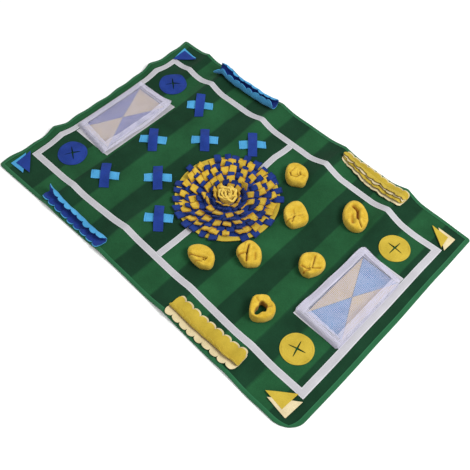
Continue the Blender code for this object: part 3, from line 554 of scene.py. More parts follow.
def pitch_finish():
    made, tree, shader, places = start_finish("pitch_cloth", 0.88, 0.04)
    along, _ = flat_axes(tree, places)
    ramp = tree.nodes.new("ShaderNodeValToRGB")
    tree.links.new(along, ramp.inputs["Fac"])
    stops = [(0.0, BAND_LIGHT)]
    for k, edge in enumerate(BAND_EDGES):
        before, after = (BAND_LIGHT, BAND_DARK) if k % 2 == 0 else (BAND_DARK, BAND_LIGHT)
        stops += [(edge + HALF_LENGTH - BAND_BLUR, before), (edge + HALF_LENGTH + BAND_BLUR, after)]
    for element, (position, colour) in zip(ramp.color_ramp.elements, (stops[0], stops[-1])):
        element.position = position
        element.color = (*colour, 1.0)
    for position, colour in stops[1:-1]:
        element = ramp.color_ramp.elements.new(position)
        element.color = (*colour, 1.0)
    at = places.outputs["Object"]
    cloud = spread(tree, noise_texture(tree, at, 9.0, 5.0, 0.6), 0.30, 0.76, 0.70, 1.26)
    grain = spread(tree, noise_texture(tree, at, 420.0, 2.0, 0.7), 0.30, 0.86, 0.70, 1.14)
    set_colour(tree, shader, ramp.outputs["Color"], math_node(tree, "MULTIPLY", cloud, grain))
    rumple = bump(tree, noise_texture(tree, at, 22.0, 4.0), 0.0045, 0.65)
    pile = bump(tree, noise_texture(tree, at, 700.0, 2.0, 0.6), 0.0003, 0.5, rumple)
    tree.links.new(pile, shader.inputs["Normal"])
    return made


PITCH_CLOTH = pitch_finish()


# %% [markdown]
# ### Tapes
# The white lines are grosgrain tape, whose thick ribs run across it, with a tighter selvedge at both edges.
# The green binding is the same kind of tape. Both read the UV map: first the distance along the tape, then the
# distance across it.

# %% Grosgrain tape
def tape_finish(name, colour, edge_colour, rib_pitch, width, groove_shade):
    made, tree, shader, places = start_finish(name, 0.80, 0.15)
    along, across = flat_axes(tree, places)
    turns = math_node(tree, "MULTIPLY", along, 2 * math.pi / rib_pitch)
    rib = spread(tree, math_node(tree, "SINE", turns), -1.0, 0.0, 1.0, 1.0)
    from_middle = math_node(tree, "ABSOLUTE", math_node(tree, "SUBTRACT", across, width / 2))
    edge = spread(tree, from_middle, width * 0.36, 0.0, width * 0.44, 1.0)
    soil = spread(tree, noise_texture(tree, places.outputs["Object"], 18.0, 4.0), 0.3, 0.90, 0.7, 1.04)
    # Painted shade: the grooves between the ribs are darkened, on top of the bump of the ribs.
    painted_rib_shade = spread(tree, rib, 0.0, 1.0 - groove_shade, 1.0, 1.0)
    set_colour(
        tree, shader, mix_colour(tree, edge, colour, edge_colour), math_node(tree, "MULTIPLY", painted_rib_shade, soil)
    )
    tree.links.new(bump(tree, rib, 0.0004, 0.6), shader.inputs["Normal"])
    return made


WHITE_TAPE = tape_finish("white_tape", (0.50, 0.49, 0.52), (0.62, 0.62, 0.65), 0.0028, TAPE_WIDTH, 0.30)
GREEN_TAPE = tape_finish("binding_tape", (0.017, 0.112, 0.044), (0.024, 0.145, 0.060), 0.0022, 0.018, 0.20)


# %% [markdown]
# ### Net
# The goal nets are a fine, slightly lilac white mesh. Its holes are about 3 mm wide, too fine for geometry,
# so the finish cuts them: a square lattice of threads on the UV map, see-through in between.

# %% Net finish
NET_PITCH = 0.0033  # distance between threads
NET_THREAD, HEM_THREAD = 0.13, 0.26  # share of it that a thread covers, in one layer and in the folded hem


def net_finish(name, colour, thread_share):
    made, tree, shader, places = start_finish(name, 0.65, 0.1)
    threads = []
    for axis in flat_axes(tree, places):
        place = math_node(tree, "FRACT", math_node(tree, "MULTIPLY", axis, 1 / NET_PITCH))
        threads.append(math_node(tree, "LESS_THAN", place, thread_share))
    cover = math_node(tree, "MAXIMUM", threads[0], threads[1])
    shader.inputs["Base Color"].default_value = (*colour, 1.0)
    tree.links.new(cover, shader.inputs["Alpha"])
    return made


NET = net_finish("white_net", (0.62, 0.60, 0.76), NET_THREAD)
HEM = net_finish("white_net_hem", (0.66, 0.64, 0.76), HEM_THREAD)
THREADS = {
    "white": fibre_finish("white_thread", (0.60, 0.60, 0.62), (0.72, 0.72, 0.74)),
    "blue": fibre_finish("blue_thread", (0.012, 0.030, 0.180), (0.020, 0.045, 0.240)),
    "yellow": fibre_finish("yellow_thread", (0.420, 0.290, 0.030), (0.520, 0.370, 0.050)),
}
print("finishes made:", len(bpy.data.materials))

# %% [markdown]
# ## The mat
# One cloth, 1.00 x 0.675 m. It is a fine grid laid over the folds, with a cell of about 5 mm.

# %% Mat cloth
MAT_CELLS = (208, 140)
WELL_ABOVE = 0.5  # a height from which a line down meets the cloth from above
mat_us = steps(-HALF_LENGTH, HALF_LENGTH, MAT_CELLS[0])
mat_vs = steps(-HALF_WIDTH, HALF_WIDTH, MAT_CELLS[1])
mat_grid = [[lay(u, v, CLOTH / 2) for v in mat_vs] for u in mat_us]
mat_flat = [[(u + HALF_LENGTH, v + HALF_WIDTH) for v in mat_vs] for u in mat_us]
mat_cloth = slab("mat_cloth", mat_grid, CLOTH, PITCH_CLOTH, mat_flat)
declare(mat_cloth, "mat", "pitch_cloth", (2 * HALF_WIDTH, 2 * HALF_LENGTH, None))
ground = BVHTree.FromPolygons(
    [vertex.co.copy() for vertex in mat_cloth.data.vertices],
    [list(face.vertices) for face in mat_cloth.data.polygons],
)
print("mat:", len(mat_cloth.data.polygons), "faces")


def top_at(x, y, default=CLOTH):
    """The height of the cloth's upper side at a place, or default beside the cloth."""
    hit = ground.ray_cast(Vector((x, y, WELL_ABOVE)), Vector((0, 0, -1)))[0]
    return hit.z if hit else default


# %% [markdown]
# ### Binding
# A tape is folded over the raw edge. Its section is a narrow U round the rim; it is swept round the whole
# cloth and puckers slightly, because it was sewn on under tension.

# %% Binding tape
BINDING_LEG = 0.0081
BINDING_CELLS = (260, 176)
PUCKER_PITCH, PUCKER = 0.013, 0.00035
LEG_PUCKER = 0.4  # share of the pucker, turned round, that the middle of the upper leg takes
CORNER_OUT, CORNER_UP = 0.3, 0.4  # shares of the tape's middle line at which its corners are cut


def rim_points():
    """The rim of the cloth as (u, v), once round."""
    half_u, half_v = HALF_LENGTH, HALF_WIDTH
    count_u, count_v = BINDING_CELLS
    ring = [(u, -half_v) for u in steps(-half_u, half_u, count_u)[:-1]]
    ring += [(half_u, v) for v in steps(-half_v, half_v, count_v)[:-1]]
    ring += [(u, half_v) for u in steps(half_u, -half_u, count_u)[:-1]]
    ring += [(-half_u, v) for v in steps(half_v, -half_v, count_v)[:-1]]
    return ring


def make_binding():
    inner_u, inner_v = HALF_LENGTH - BINDING_LEG, HALF_WIDTH - BINDING_LEG
    middle = GAP + BINDING_THICK / 2
    top, up = CLOTH + middle, Vector((0, 0, 1))
    grid, flat = [], []
    travelled = 0.0
    before = None
    for u, v in rim_points():
        rim = lay(u, v)
        inside = lay(min(max(u, -inner_u), inner_u), min(max(v, -inner_v), inner_v))
        halfway = rim.lerp(inside, 0.5)
        travelled += (rim - before).length if before else 0.0
        before = rim
        pucker = PUCKER * math.sin(2 * math.pi * travelled / PUCKER_PITCH)
        out = rim - inside
        out.z = 0
        out = out.normalized() * middle
        row = [inside + up * (top + pucker), halfway + up * (top - pucker * LEG_PUCKER)]
        row += [rim + out * CORNER_OUT + up * top, rim + out + up * (CLOTH + middle * CORNER_UP)]
        row += [rim + out + up * (-middle * CORNER_UP), rim + out * CORNER_OUT - up * middle]
        row += [halfway - up * middle, inside - up * middle]
        grid.append(row)
        across = 0.0
        line = []
        for k, point in enumerate(row):
            across += (point - row[k - 1]).length if k else 0.0
            line.append((travelled, across))
        flat.append(line)
    made = slab("binding_tape", grid, BINDING_THICK, GREEN_TAPE, flat, around=True)
    declare(made, "binding", "binding_tape", cut_size(grid, around=True))


make_binding()


# %% [markdown]
# ### White lines
# Each line is a strip of tape laid just above the cloth. The touchline is one tape with mitred corners; the
# halfway line and the two goal areas are separate tapes whose ends stop at it.

# %% Touchline and halfway line
TAPE_ABOVE = CLOTH + GAP + TAPE_THICK / 2
ACROSS_TAPE = (0.0, 0.06, 0.5, 0.94, 1.0)
SELVEDGE_DIP = 0.00025
TAPE_CELL = 0.005
TAPE_BREAK = 0.0005  # what is left open where one tape stops at another
HALFWAY_SWAY, HALFWAY_CELLS = 0.0012, 96


def tape_row(outer, inner, travelled):
    """Points across a tape between its two edges, given as (u, v), with its flat places."""
    points = []
    places = []
    for share in ACROSS_TAPE:
        dip = SELVEDGE_DIP if share in (0.0, 1.0) else 0.0
        points.append(lay(*between(outer, inner, share), TAPE_ABOVE - dip))
        places.append((travelled, share * TAPE_WIDTH))
    return points, places


def make_touchline():
    half = TAPE_WIDTH / 2
    low_u, high_u, half_v = TOUCH_BLUE_U, TOUCH_YELLOW_U, TOUCH_V
    outer = [(low_u - half, -half_v - half), (high_u + half, -half_v - half)]
    outer += [(high_u + half, half_v + half), (low_u - half, half_v + half)]
    inner = [(low_u + half, -half_v + half), (high_u - half, -half_v + half)]
    inner += [(high_u - half, half_v - half), (low_u + half, half_v - half)]
    grid, flat = [], []
    travelled = 0.0
    for side in range(4):
        after = (side + 1) % 4
        length = math.dist(outer[side], outer[after])
        count = int(length / TAPE_CELL)
        for k in range(count):
            share = k / count
            first = between(outer[side], outer[after], share)
            second = between(inner[side], inner[after], share)
            points, places = tape_row(first, second, travelled + share * length)
            grid.append(points)
            flat.append(places)
        travelled += length
    made = slab("touchline_tape", grid, TAPE_THICK, WHITE_TAPE, flat, around=True)
    declare(made, "touchline", "white_tape", cut_size(grid, around=True))
    return made


def halfway_u(v):
    """The middle of the halfway line, which was not sewn on quite straight."""
    return HALFWAY_U + HALFWAY_SWAY * math.sin(v * 31)


def make_halfway_line():
    end = TOUCH_V - TAPE_WIDTH / 2 - TAPE_BREAK
    grid, flat = [], []
    for v in steps(-end, end, HALFWAY_CELLS):
        middle = halfway_u(v)
        points, places = tape_row((middle - TAPE_WIDTH / 2, v), (middle + TAPE_WIDTH / 2, v), v + end)
        grid.append(points)
        flat.append(places)
    made = slab("halfway_tape", grid, TAPE_THICK, WHITE_TAPE, flat)
    declare(made, "halfway_line", "white_tape", cut_size(grid))


touchline = make_touchline()
make_halfway_line()
print("touchline:", len(touchline.data.polygons), "faces")

# %% [markdown]
# ## Goal areas
# A three-sided tape borders each goal area. Its sides are placed in plan, as in the CAD model, and laid down
# on the cloth point by point.

# %% Goal-area tapes
GOALS = {
    "blue": {"pitch_x": -0.3275, "far_y": 0.1230, "near_y": -0.1220, "line_x": -0.4620, "out": -1},
    "yellow": {"pitch_x": 0.3265, "far_y": 0.1220, "near_y": -0.1300, "line_x": 0.4640, "out": 1},
}
TAPE_SLACK = 0.0022  # the goal-area tapes stop this much further from the touchline than TAPE_BREAK


def on_ground(x, y, above):
    """A point over the cloth, from its place in the cloth's own plan."""
    x, y = x + SHIFT.x, y + SHIFT.y
    return Vector((x, y, top_at(x, y) + above))


def make_goal_area(end):
    goal = GOALS[end]
    out = goal["out"]
    line = goal["line_x"] - out * (TAPE_WIDTH / 2 + TAPE_BREAK + TAPE_SLACK)
    pitch, far, near = goal["pitch_x"], goal["far_y"], goal["near_y"]
    outer = [(line, far), (pitch, far), (pitch, near), (line, near)]
    inner_x = pitch + out * TAPE_WIDTH
    inner = [(line, far - TAPE_WIDTH), (inner_x, far - TAPE_WIDTH), (inner_x, near + TAPE_WIDTH)]
    inner += [(line, near + TAPE_WIDTH)]
    grid, flat = [], []
    travelled = 0.0
    for side in range(3):
        length = math.dist(outer[side], outer[side + 1])
        count = int(length / TAPE_CELL)
        for k in range(count + (side == 2)):
            share = k / count
            a = between(outer[side], outer[side + 1], share)
            b = between(inner[side], inner[side + 1], share)
            grid.append([on_ground(*between(a, b, across), GAP + TAPE_THICK / 2) for across in ACROSS_TAPE])
            flat.append([(travelled + share * length, across * TAPE_WIDTH) for across in ACROSS_TAPE])
        travelled += length
    made = slab("goal_tape_" + end, grid, TAPE_THICK, WHITE_TAPE, flat)
    declare(made, "goal_area_" + end, "white_tape", cut_size(grid))
    return made


goal_tapes = {end: make_goal_area(end) for end in GOALS}

# %% [markdown]
# ### Felt flaps
# Four felt triangles meet in the middle of each goal area, so that a nose can push in between them. A triangle
# is a grid that narrows to its tip. The tip is lifted a little and curls.

# %% Goal flaps
GOAL_FLAPS = {  # low x, high x, low y, high y, where the tips meet, colours from the far side clockwise
    "blue": (-0.4490, -0.3480, -0.1010, 0.1030, (-0.400, -0.003), ("cream", "blue", "cream", "blue")),
    "yellow": (
        0.3480, 0.4500, -0.1060, 0.1010, (0.397, -0.003), ("light_blue", "cream", "light_blue", "cream"),
    ),
}  # fmt: skip
FELT = 0.0015
FLAP_BREAK = 0.0004
FLAP_CELLS, FLAP_END = (18, 14), 0.985
TIP_LIFT, FLAP_RIPPLE = 0.0011, 0.0003
FELTS = {"blue": BLUE_FELT, "light_blue": SKY_FELT, "cream": CREAM_FELT, "yellow": YELLOW_FELT}
GOAL_FELTS = {
    "blue": BLUE_FELT,
    "light_blue": fibre_finish("light_blue_goal_felt", (0.040, 0.190, 0.400), (0.056, 0.245, 0.480)),
    "cream": fibre_finish("cream_goal_felt", (0.470, 0.350, 0.140), (0.560, 0.430, 0.190)),
}
SLOTS = {
    "blue": "blue_felt", "light_blue": "light_blue_felt", "cream": "cream_felt", "yellow": "yellow_fleece",
}  # fmt: skip


def make_goal_flaps(end):
    low_x, high_x, low_y, high_y, middle, colours = GOAL_FLAPS[end]
    corners = [Vector(c) for c in ((low_x, high_y), (high_x, high_y), (high_x, low_y), (low_x, low_y))]
    tip = Vector(middle)
    for k, side in enumerate(("far", "right", "near", "left")):
        first, second = corners[k], corners[(k + 1) % 4]
        centre = (first + second + tip) / 3
        first, second, point = (c + (centre - c).normalized() * 3 * FLAP_BREAK for c in (first, second, tip))
        grid = []
        for t in steps(0.0, FLAP_END, FLAP_CELLS[0]):
            row = []
            for s in steps(0.0, 1.0, FLAP_CELLS[1]):
                place = first.lerp(second, s).lerp(point, t)
                rise = TIP_LIFT * smooth((t - 0.45) / 0.55)
                ripple = FLAP_RIPPLE * math.sin(9 * s + 5 * k) * (1 - t)
                row.append(on_ground(place.x, place.y, GAP + FELT / 2 + rise + abs(ripple)))
            grid.append(row)
        made = slab("goal_flap_{}_{}".format(end, side), grid, FELT, GOAL_FELTS[colours[k]])
        node = "goal_felt_{}_{}".format(end, side)
        declare(made, node, SLOTS[colours[k]], triangle_size(grid))


for end in GOALS:
    make_goal_flaps(end)

# %% [markdown]
# ### Nets
# The net is stitched down along its goal line and both sides, and open towards the pitch, like a goal. Its
# edge is folded back on itself, which gives the whiter border. The corners at the pitch turn up.

# %% Goal nets
NET_SHEET = 0.0007
NET_HEM = 0.022
NETS = {  # corners from the far left one clockwise, and how far each of them turns up
    "blue": (
        ((-0.4600, 0.1200), (-0.3300, 0.1230), (-0.3340, -0.1260), (-0.4580, -0.1080)), (0, 0.020, 0.002, 0)
    ),
    "yellow": (
        ((0.3300, 0.1230), (0.4560, 0.1100), (0.4580, -0.1320), (0.3260, -0.1250)), (0.012, 0, 0, 0.004)
    ),
}
NET_RIM_HEIGHT, NET_FIELD_HEIGHT, TIP_SHARPNESS = 0.0160, 0.0120, 6
NET_STEEP, NET_SHOULDER, NET_FALL = 0.05, 0.23, 0.3  # over which it climbs, levels off and sinks again
NET_TOP = 0.28  # where it is highest, in shares of its half width like those three
STEEP_SHARE, SHOULDER_SHARE = 0.8, 0.2  # of its height, gained over the first two
NET_BLUNT, NEAR_BLUNT, BLUNT_ACROSS = 0.26, 0.3, 0.6
OPEN_FROM, OPEN_OVER, OPEN_DROP, OPEN_WAVE = 0.70, 0.30, 0.55, 0.12
NET_RIPPLE = 0.0016
NET_CELLS = (44, 72)
HEM_CELLS = (40, 64, 8)
HEM_GAP, HEM_LOFT, HEM_LIP = 0.0004, 0.0012, 0.0020


def net_height(from_edge):
    """The height of the net at a distance from its sewn edges, as a share of its half width."""
    if from_edge <= NET_STEEP:
        return NET_RIM_HEIGHT * STEEP_SHARE * math.sqrt(max(from_edge, 0.0) / NET_STEEP)
    if from_edge <= NET_TOP:
        level = smooth((from_edge - NET_STEEP) / NET_SHOULDER)
        return NET_RIM_HEIGHT * (STEEP_SHARE + SHOULDER_SHARE * level)
    return NET_RIM_HEIGHT - (NET_RIM_HEIGHT - NET_FIELD_HEIGHT) * smooth((from_edge - NET_TOP) / NET_FALL)


def blunt(s, t):
    """Takes the point off a corner of the net, whose folded edge is too thick to come to one."""
    reach = NET_BLUNT if t < 0 else NET_BLUNT * NEAR_BLUNT
    along, across = 1 - (1 - abs(s)) / reach, 1 - (1 - abs(t)) / (reach * BLUNT_ACROSS)
    if along > 0 and across > 0:
        shorter = along * math.sqrt(1 - across * across / 2), across * math.sqrt(1 - along * along / 2)
        s = math.copysign(1 - reach * (1 - shorter[0]), s)
        t = math.copysign(1 - reach * BLUNT_ACROSS * (1 - shorter[1]), t)
    return s, t


def net_point(end, s, t, above=0.0):
    """A point of the net: s runs from left (-1) to right (1), and t from the far side to the near one."""
    corners, turned_up = NETS[end]
    s, t = blunt(s, t)
    out = GOALS[end]["out"]
    far_left, far_right, near_right, near_left = (Vector(corner) for corner in corners)
    a, b = (s + 1) / 2, (t + 1) / 2
    place = far_left.lerp(far_right, a).lerp(near_left.lerp(near_right, a), b)
    weights = ((1 - a) * (1 - b), a * (1 - b), a * b, (1 - a) * b)
    tip = sum(w**TIP_SHARPNESS * height for w, height in zip(weights, turned_up))
    height = net_height(min(1 - s * out, 1 - abs(t)))
    open_edge = smooth((-s * out - OPEN_FROM) / OPEN_OVER)
    height *= 1 - OPEN_DROP * open_edge + OPEN_WAVE * open_edge * math.sin(9 * t + out)
    ripple = NET_RIPPLE * noise.noise(Vector((s * 3.1, t * 4.3, 5.0 + out)))
    inside = min(1.0, 6 * (1 - abs(t)), 6 * (1 - s * out))
    return on_ground(place.x, place.y, height + tip + ripple * inside + GAP * 3 + above)


def make_goal_net(end):
    grid = []
    for t in steps(-1, 1, NET_CELLS[1]):
        grid.append([net_point(end, s, t) for s in steps(-1, 1, NET_CELLS[0])])
    made = slab("goal_net_cloth_" + end, grid, NET_SHEET, NET)
    size = cut_size(grid)
    declare(made, "goal_net_" + end, "white_net", size)
    return size


def make_net_hem(end, size):
    """The folded edge: a frame of the same net, a little above the first layer."""
    share_s, share_t = 2 * NET_HEM / size[0], 2 * NET_HEM / size[1]
    corners = ((-1, -1), (1, -1), (1, 1), (-1, 1))
    ring = []
    for k in range(4):
        count = HEM_CELLS[k % 2]
        ring += [between(corners[k], corners[(k + 1) % 4], step / count) for step in range(count)]
    grid = []
    for s, t in ring:
        row = []
        for share in steps(0.0, 1.0, HEM_CELLS[2]):
            inner = (s * (1 - share_s * share), t * (1 - share_t * share))
            lift = NET_SHEET + HEM_GAP + HEM_LOFT * math.sin(math.pi * share)
            lift += HEM_LIP * smooth((share - 0.6) / 0.4)
            row.append(net_point(end, *inner, above=lift))
        grid.append(row)
    made = slab("goal_net_hem_" + end, grid, NET_SHEET, HEM, around=True)
    declare(made, None, "white_net", cut_size(grid, around=True))


for end in GOALS:
    net_size = make_goal_net(end)
    make_net_hem(end, net_size)
    print("net", end, [round(value, 3) for value in net_size])

# %% [markdown]
# ## What repeats
# Tabs and stitches are the same small thing many times over, so a Geometry Nodes tree places them. Each tree
# is built here by script with named inputs, and what it makes of a ring or a seam is kept as a plain mesh.

# %% Helpers for Geometry Nodes
def new_tree(name, inputs):
    tree = bpy.data.node_groups.new(name, "GeometryNodeTree")
    tree.interface.new_socket("Geometry", in_out="INPUT", socket_type="NodeSocketGeometry")
    for label, kind in inputs:
        tree.interface.new_socket(label, in_out="INPUT", socket_type="NodeSocket" + kind)
    tree.interface.new_socket("Geometry", in_out="OUTPUT", socket_type="NodeSocketGeometry")
    return tree, tree.nodes.new("NodeGroupInput"), tree.nodes.new("NodeGroupOutput")


def add_node(tree, kind, links=(), **settings):
    node = tree.nodes.new(kind)
    for name, value in settings.items():
        setattr(node, name, value)
    for socket, source in links:
        target = node.inputs[socket]
        if hasattr(source, "is_output"):
            tree.links.new(source, target)
        else:
            target.default_value = source
    return node


def grow(tree, name, start, inputs):
    """Runs a tree on the mesh start and keeps what it makes as a plain mesh object."""
    base = bpy.data.objects.new(name, start)
    bpy.context.scene.collection.objects.link(base)
    modifier = base.modifiers.new("repeat", "NODES")
    modifier.node_group = tree
    sockets = {
        item.name: item.identifier
        for item in tree.interface.items_tree
        if item.item_type == "SOCKET" and item.in_out == "INPUT"
    }
    for label, value in inputs.items():
        modifier[sockets[label]] = value
    base.update_tag()
    bpy.context.view_layer.update()
    evaluated = base.evaluated_get(bpy.context.evaluated_depsgraph_get())
    mesh = bpy.data.meshes.new_from_object(evaluated)
    base.modifiers.remove(modifier)
    base.data = mesh
    mesh.name = name
    mesh.materials.clear()
    mesh.materials.append(inputs["Material"])
    return base


def dress(tree, placed, start, end):
    """The last nodes of both trees: what was placed becomes one mesh with the material that was given."""
    solid = add_node(tree, "GeometryNodeRealizeInstances", [("Geometry", placed.outputs["Instances"])])
    coloured = add_node(tree, "GeometryNodeSetMaterial", [("Geometry", solid.outputs["Geometry"])])
    tree.links.new(start.outputs["Material"], coloured.inputs["Material"])
    tree.links.new(coloured.outputs["Geometry"], end.inputs["Geometry"])


# %% [markdown]
# ### Stitches
# A seam is a row of small, rounded stitches along a line on the cloth. The tree divides the line evenly, and
# at each point it sets a stitch that follows the line, give or take a little, as a machine's thread does.

# %% Stitch tree
STITCH_LENGTH, STITCH_RADIUS, STITCH_SIDES, STITCH_FLAT = 0.0026, 0.00032, 5, 0.7
STITCH_WANDER = (0.10, 0.10, 0.04)
TAPE_PITCH, FELT_PITCH = 0.0036, 0.0030  # from stitch to stitch
SEAM_INSET, SEAM_END = 0.0014, 0.009
SEAM_STEPS = (160, 120)
STITCH_SEED = 4


def capsule(name, length, radius):
    """A small rounded stitch, lying along X and half sunk in the cloth."""
    mesh = bpy.data.meshes.new(name)
    shell = bmesh.new()
    rings = []
    for share, size in ((-1.0, 0.35), (-0.6, 1.0), (0.6, 1.0), (1.0, 0.35)):
        wide = size * radius
        ring = []
        for k in range(STITCH_SIDES):
            angle = 2 * math.pi * k / STITCH_SIDES
            y, z = wide * math.cos(angle), wide * STITCH_FLAT * math.sin(angle)
            ring.append(shell.verts.new(Vector((share * length / 2, y, z))))
        rings.append(ring)
    for first, second in zip(rings, rings[1:]):
        for k in range(STITCH_SIDES):
            after = (k + 1) % STITCH_SIDES
            shell.faces.new((first[k], first[after], second[after], second[k]))
    shell.faces.new(rings[0])
    shell.faces.new(rings[-1])
    bmesh.ops.recalc_face_normals(shell, faces=shell.faces[:])
    shell.to_mesh(mesh)
    shell.free()
    mesh.shade_smooth()
    made = bpy.data.objects.new(name, mesh)
    bpy.context.scene.collection.objects.link(made)
    return made


def make_stitch_tree():
    inputs = [("Stitch", "Object"), ("Pitch", "Float"), ("Material", "Material"), ("Seed", "Int")]
    tree, start, end = new_tree("stitch_line", inputs)
    curve = add_node(tree, "GeometryNodeMeshToCurve", [("Mesh", start.outputs["Geometry"])])
    spaced = add_node(tree, "GeometryNodeResampleCurve", [("Curve", curve.outputs["Curve"])], mode="LENGTH")
    tree.links.new(start.outputs["Pitch"], spaced.inputs["Length"])
    tangent = add_node(tree, "GeometryNodeInputTangent").outputs["Tangent"]
    seed = start.outputs["Seed"]
    wander = add_node(tree, "FunctionNodeRandomValue", [("Seed", seed)], data_type="FLOAT_VECTOR")
    wander.inputs["Min"].default_value = [-most for most in STITCH_WANDER]
    wander.inputs["Max"].default_value = STITCH_WANDER
    way = add_node(tree, "ShaderNodeVectorMath", [(0, tangent), (1, wander.outputs["Value"])])
    turn = add_node(tree, "FunctionNodeAlignRotationToVector", [("Vector", way.outputs["Vector"])], axis="X")
    source = add_node(tree, "GeometryNodeObjectInfo", [("Object", start.outputs["Stitch"])])
    placed = add_node(
        tree,
        "GeometryNodeInstanceOnPoints",
        [
            ("Points", spaced.outputs["Curve"]),
            ("Instance", source.outputs["Geometry"]),
            ("Rotation", turn.outputs["Rotation"]),
        ],
    )
    dress(tree, placed, start, end)
    return tree


stitch_tree = make_stitch_tree()
STITCH = capsule("stitch_source", STITCH_LENGTH, STITCH_RADIUS)


def sew(name, lines, thread, pitch):
    """Stitches along lines of points; each line is a list of places."""
    mesh = bpy.data.meshes.new(name + "_lines")
    points, edges = [], []
    for line in lines:
        first = len(points)
        points += [tuple(point) for point in line]
        edges += [(first + k, first + k + 1) for k in range(len(line) - 1)]
    mesh.from_pydata(points, edges, [])
    inputs = {"Stitch": STITCH, "Pitch": pitch, "Material": THREADS[thread], "Seed": STITCH_SEED}
    made = grow(stitch_tree, name, mesh, inputs)
    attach(made, "root")
    print(name, "stitch faces:", len(made.data.polygons))


def on_tape(u, v):
    return lay(u, v, CLOTH + GAP + TAPE_THICK)


def tape_seams():
    """Two seams along the touchline and two along the halfway line, near the edges of the tape."""
    inset = TAPE_WIDTH / 2 - SEAM_INSET
    lines = []
    for side in (-1, 1):
        low_u, high_u = TOUCH_BLUE_U + side * inset, TOUCH_YELLOW_U - side * inset
        half_v = TOUCH_V - side * inset
        corners = [(low_u, -half_v), (high_u, -half_v), (high_u, half_v), (low_u, half_v)]
        for first, second in zip(corners, corners[1:] + corners[:1]):
            lines.append([on_tape(*between(first, second, t)) for t in steps(0, 1, SEAM_STEPS[0])])
        end_v = TOUCH_V - SEAM_END
        lines.append([on_tape(halfway_u(v) + side * inset, v) for v in steps(-end_v, end_v, SEAM_STEPS[1])])
    return lines


sew("tape_stitches", tape_seams(), "white", TAPE_PITCH)


# %% [markdown]
# ## The rosette
# A felt disc carries rings of fleece tabs, blue and yellow by turns, whose roots are sewn down. The inner
# rings stand up and the outer ones lie down. A ruffled roll of yellow fleece closes the middle. The disc is a
# round grid on the cloth; past the tabs its rim ruffles a little, as felt does that is held only further in.

# %% Rosette base
ROSETTE_RADIUS = 0.133
DISC_STEPS = 96
DISC_HOLE, DISC_START = 0.001, 0.02  # the first two radii of a round grid
FRILL_FROM, FRILL_OVER = 0.112, 0.021
WIDE_RUFFLE, TIGHT_RUFFLE = 0.0011, 0.0007


def disc_grid(radius, count, place):
    """A round grid, with a row of points from the middle outwards for each step round it."""
    radii = [DISC_HOLE] + steps(DISC_START, radius, count)
    angles = [2 * math.pi * k / DISC_STEPS for k in range(DISC_STEPS)]
    return [[place(angle, r) for r in radii] for angle in angles]


def around_rosette(angle, radius, height):
    x, y = ROSETTE[0] + SHIFT.x + radius * math.cos(angle), ROSETTE[1] + SHIFT.y + radius * math.sin(angle)
    return Vector((x, y, height))


def make_rosette_base():
    over_tape = TAPE_THICK + GAP

    def place(angle, radius):
        frill = smooth((radius - FRILL_FROM) / FRILL_OVER)
        wave = WIDE_RUFFLE * (1 + math.sin(7 * angle)) + TIGHT_RUFFLE * (1 + math.sin(17 * angle + 1.0))
        x, y = ROSETTE[0] + radius * math.cos(angle), ROSETTE[1] + radius * math.sin(angle)
        return on_ground(x, y, GAP + FELT / 2 + over_tape + wave * frill)

    grid = disc_grid(ROSETTE_RADIUS, 22, place)
    made = slab("rosette_disc", grid, FELT, YELLOW_FELT, around=True)
    diameter = 2 * ROSETTE_RADIUS
    area = cut_size(grid, around=True)[2]
    declare(made, "rosette_base", "yellow_fleece", (diameter, diameter, area))
    return made


rosette_base = make_rosette_base()

# %% [markdown]
# ### Tabs
# Seven hand-cut variants are made in mesh code, each a little different in outline, cup and twist. The tree
# picks one for each place of a ring, leans it outwards and turns it by a small random angle. Painted shade
# darkens a tab at its root, where little light comes in, and a bit along its cut edge, which is shaded too.
# A thin disc closes the gaps between the tabs, where the real rosette shows nothing but more fleece.

# %% Tab variants and their rings
TAB_THICK, BACKING = 0.0030, 0.0010
ROSETTE_TOP = CLOTH + TAPE_THICK + FELT + 4 * GAP + BACKING
TAB_RINGS = (  # root radius, tabs, lean from upright in degrees, length, width, colour
    (0.026, 10, 26, 0.0185, 0.0165, "yellow"),
    (0.037, 13, 40, 0.0180, 0.0155, "blue"),
    (0.049, 15, 48, 0.0215, 0.0190, "yellow"),
    (0.062, 18, 55, 0.0200, 0.0170, "blue"),
    (0.075, 21, 60, 0.0235, 0.0200, "yellow"),
    (0.088, 24, 65, 0.0220, 0.0175, "blue"),
    (0.100, 27, 70, 0.0245, 0.0200, "yellow"),
    (0.114, 31, 82, 0.0260, 0.0195, "blue"),
)  # fmt: skip
BARE_RIM = (  # where the outermost ring has no tabs, in degrees round the rosette
    (14, 31), (147, 168), (184, 200), (305, 327), (349, 361),
)  # fmt: skip
BACKING_RADIUS = 0.119
TAB_UNIT = 0.020  # the variants are this square; the tree scales them
TAB_VARIANTS, TAB_CELLS = 7, (9, 8)
TAB_RANGES = (  # cup and curl in metres, twist in radians, skew and flare in shares
    (-0.0010, 0.0016), (-0.0020, 0.0040), (-0.30, 0.30), (-0.16, 0.16), (-0.04, 0.10),
)  # fmt: skip
VARIANT_SEED, RING_SEED, SWAY_SEED = 21, 40, 11
RING_TURN = 0.35  # each ring starts this much further round than the one inside it, in radians
WAY_SPREAD, REACH_SPREAD = 0.16, 0.02  # how far a root strays, in shares of the spacing and of the radius
LEAN_SPREAD, OUTER_STEADY = 10, 0.3  # degrees, and the share of that for the outermost ring
# painted shade at a tab's root and along its cut edge, as shares of the fleece's fold colour
ROOT_SHADE, RIM_SHADE = 0.9, 0.55
OUTER_LIFT = 0.0016  # the outermost tabs lie down, so their roots start higher
SWAY, OUTER_SWAY = 0.28, 0.06  # most that a tab is turned at random, in radians
TAB_ROW_SLACK = 1.25  # a ring's row of tabs, with the cuts between them, over the tabs' widths
TAB_FLAT_SHARE = 0.94  # the rest of a tab's surface is its rim


